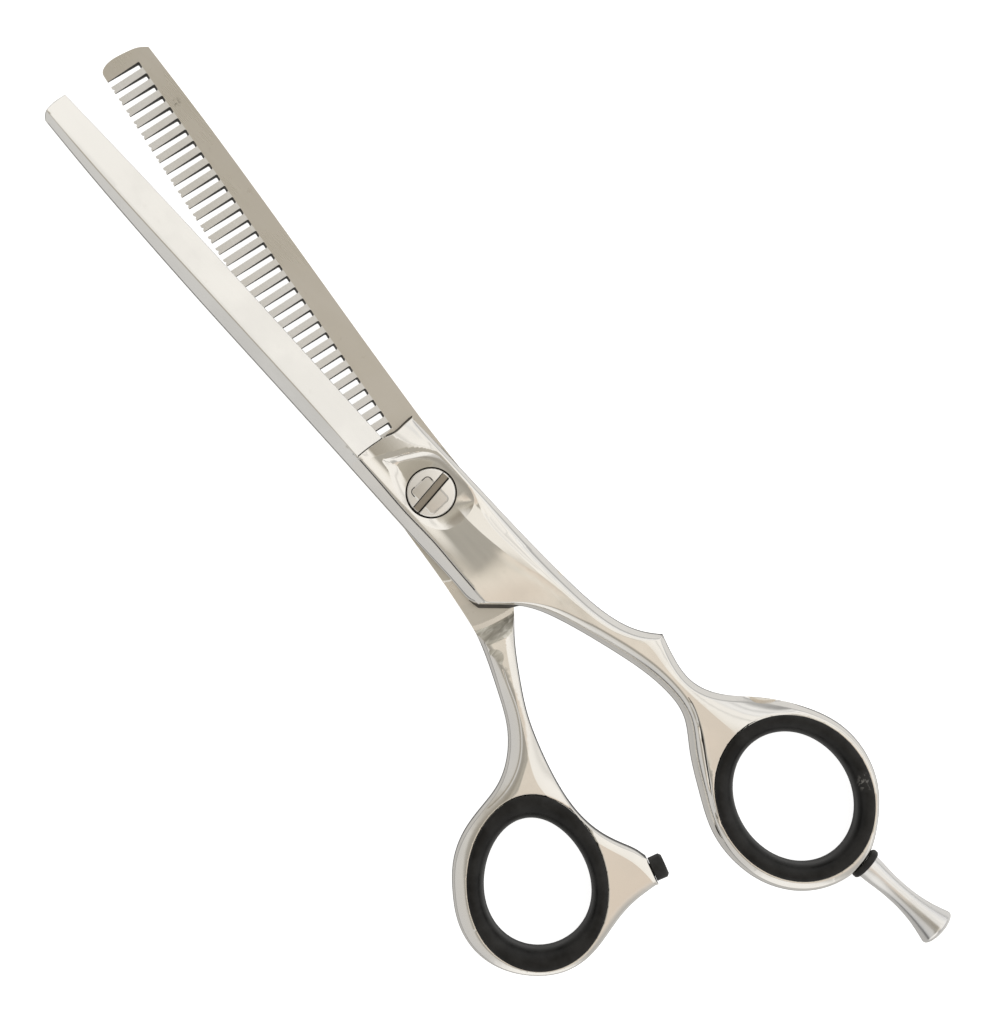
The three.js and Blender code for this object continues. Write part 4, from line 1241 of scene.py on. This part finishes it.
pieces = [
    (plain_half(), "plain_half", "polished_steel", "plain_blade_handle"),
    (toothed_half(), "toothed_half", "satin_steel", "toothed_blade_handle"),
    (ring_insert("finger_ring_liner", FINGER_OVAL, black),
     "plain_half", "black_rubber", "finger_ring_insert"),
    (ring_insert("thumb_ring_liner", THUMB_OVAL, black),
     "toothed_half", "black_rubber", "thumb_ring_insert"),
    (tension_screw([screw_steel, slot_steel, painted_shade_steel, pocket_steel]),
     "screw", "polished_steel", "tension_screw"),
    (turned("head_washer_ring", fillet(HEAD_WASHER, True), spring_plain, closed=True),
     "plain_half", "spring_steel", "head_washer"),
    (turned("disc_spring_ring", fillet(DISC_SPRING, True), spring_plain, closed=True),
     "plain_half", "spring_steel", "disc_spring"),
    (turned("blade_washer_ring", fillet(BLADE_WASHER, True), white_nylon, closed=True),
     "toothed_half", "nylon", "blade_washer"),
    (turned("pivot_nut_body", fillet(NUT), screw_steel, 96), "toothed_half", "polished_steel", "pivot_nut"),
    (turned("lock_plug_disc", fillet(PLUG), white_nylon, 48), "toothed_half", "nylon", "lock_plug"),
    (turned("rubber_bumper", fillet(BUMPER), black_bumper, 64, BUMPER_PLACE),
     "toothed_half", "black_rubber", "bumper"),
    (turned("finger_rest_washer_ring", fillet(REST_WASHER, True), black, 64, REST_PLACE, True, saddle),
     "plain_half", "black_rubber", "finger_rest_washer"),
    (turned("finger_rest_horn", np.vstack([STUD, HORN, HORN_END[1:]]), horn_steel, 96, REST_PLACE),
     "rest", "polished_steel", "finger_rest"),
]
for piece, body, slot, node in pieces:
    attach(piece, body)
    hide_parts(node)


# ---------------------------------------------------------------- studio
def studio():
    """A white paper floor that bends up to a wall, a softbox, and a room that the steel mirrors."""
    # metres: below the shears, the floor's radius, the bend's radius and the wall's height
    drop, reach, bend, high, count = -.0004, 2.4, .5, 3.0, 96
    floor_mesh, wall_mesh = (bpy.data.meshes.new(name) for name in ("paper_floor", "paper_wall"))
    floor_mesh.from_pydata(spun([(reach, drop)], count)[0], [], [range(count)])
    turns = np.linspace(0, math.pi / 2, 12)
    rows = [(reach + bend * math.sin(a), drop + bend * (1 - math.cos(a))) for a in turns]
    rows.append((reach + bend, high))
    ids = np.arange(len(rows) * count).reshape(-1, count)
    nxt = np.roll(ids, -1, 1)
    quads = np.stack([ids[:-1], nxt[:-1], nxt[1:], ids[1:]], -1).reshape(-1, 4)
    wall_mesh.from_pydata(spun(rows, count).reshape(-1, 3), [], quads.tolist())

    def paper(n):
        colour = n.ramp(n.noise(n.place, 900, 3), [(.3, grey(.5)), (.7, grey(.53))])
        n.link(colour, n.tree.nodes["Principled BSDF"].inputs["Base Color"])
    white_paper = material("white_paper", paper, {"Roughness": .9, "Emission Strength": .88,
                                                  "Emission Color": (1, 1, 1, 1)})
    floor, paper_wall = put("paper_floor", floor_mesh), put("paper_wall", wall_mesh)
    for o in (floor, paper_wall):
        o.data.materials.append(white_paper)
        o.visible_glossy = False
    paper_wall.visible_diffuse = paper_wall.visible_shadow = False
    lamp_data = bpy.data.lights.new("softbox", "AREA")
    lamp_data.shape = "RECTANGLE"
    lamp_data.size, lamp_data.size_y, lamp_data.energy = 1.6, 1.2, 10
    lamp = put("softbox", lamp_data)
    lamp.location = (-.1, -1.3, 1.2)
    lamp.rotation_euler = (-lamp.location).to_track_quat("-Z", "Y").to_euler()
    lamp.visible_glossy = False
    room()


def grey(v, warm=0.0):
    """A grey, or a warmer one."""
    return v, v * (1 - .35 * warm), v * (1 - warm)


def room():
    """The light of the room by direction: warm overhead, white panels to -Y, grey to +Y, a dark horizon."""
    world = bpy.data.worlds.new("studio")
    bpy.context.scene.world = world
    world.use_nodes = True
    n = Nodes(world.node_tree, "Generated")
    x, y, z = n.make("ShaderNodeSeparateXYZ", ((0, n.place),)).outputs
    x01, y01 = (n.math("MULTIPLY_ADD", v, .5, .5) for v in (x, y))
    over = n.ramp(x01, [(.2, (.5, .49, .47)), (.34, (.76, .68, .60)), (.445, (.74, .645, .55)),
                        (.464, (.86, .795, .71)), (.485, (.83, .775, .685)), (.497, (.70, .655, .575)),
                        (.512, (.37, .345, .305)), (.53, (.36, .355, .325)), (.552, (.47, .44, .38)),
                        (.60, (.51, .478, .41)), (.66, (.30, .27, .22)), (.85, (.50, .475, .43))])
    minus = n.ramp(z, [(0, grey(.45)), (.07, grey(.5)), (.14, grey(.95)), (.22, grey(1)), (.28, grey(.6)),
                       (.34, grey(.98)), (.46, grey(1)), (.5, grey(.74)), (.54, grey(1, .05)),
                       (.76, grey(1, .05)), (.81, grey(.72, .06)), (.86, grey(1, .05)),
                       (.93, grey(1, .06)), (.965, grey(.93, .1))])
    plus = n.ramp(z, [(0, grey(.14)), (.14, grey(.14)), (.22, grey(.5)), (.32, grey(.64)),
                      (.7, grey(.66, .04)), (.78, grey(.68, .06)), (.83, grey(.4, .14)),
                      (.91, grey(.36, .16)), (.97, grey(.45, .14))])
    plus = n.mix(n.between(x, -.45, -.2, 1, 0), plus, grey(1, .03))
    light = n.mix(n.between(n.math("MULTIPLY", y, -1), .06, .3), over, minus)
    light = n.mix(n.between(y, .07, .32), light, plus)
    rim = n.ramp(z, [(0, grey(.8)), (.1, grey(.5)), (.2, grey(1))])
    light = n.mix(n.between(n.math("ABSOLUTE", x), .5, .9), light, n.mix(1.0, light, rim, "MULTIPLY"))
    below = n.ramp(y01, [(.05, grey(.78, .02)), (.35, grey(.74, .04)), (.6, grey(.56, .05)),
                         (.95, grey(.5, .03))])
    # straight down lies the shadow under the shears, which the side walls mirror when seen from above
    below = n.mix(n.between(z, -.97, -.88), grey(.1), below)
    light = n.mix(n.between(z, -.2, -.02), below, light)
    back = world.node_tree.nodes["Background"]
    n.link(light, back.inputs["Color"])
    back.inputs["Strength"].default_value = 1.0


def camera():
    """Looks straight down, with the tips to the upper left."""
    data = bpy.data.cameras.new("camera")
    data.lens, data.sensor_width, data.sensor_fit = 105.7, 36, "AUTO"
    data.clip_start, data.clip_end = .01, 20
    view = put("camera", data)
    right, up, back = Vector((-.6792, -.7339, 0)), Vector((.7339, -.6792, 0)), Vector((0, 0, 1))
    turn = Matrix((right, up, back)).transposed().to_4x4()
    view.matrix_world = Matrix.Translation((-.0089, -.0054, .4536)) @ turn
    bpy.context.scene.camera = view


camera()
studio()
bpy.context.scene.view_settings.view_transform = "Standard"
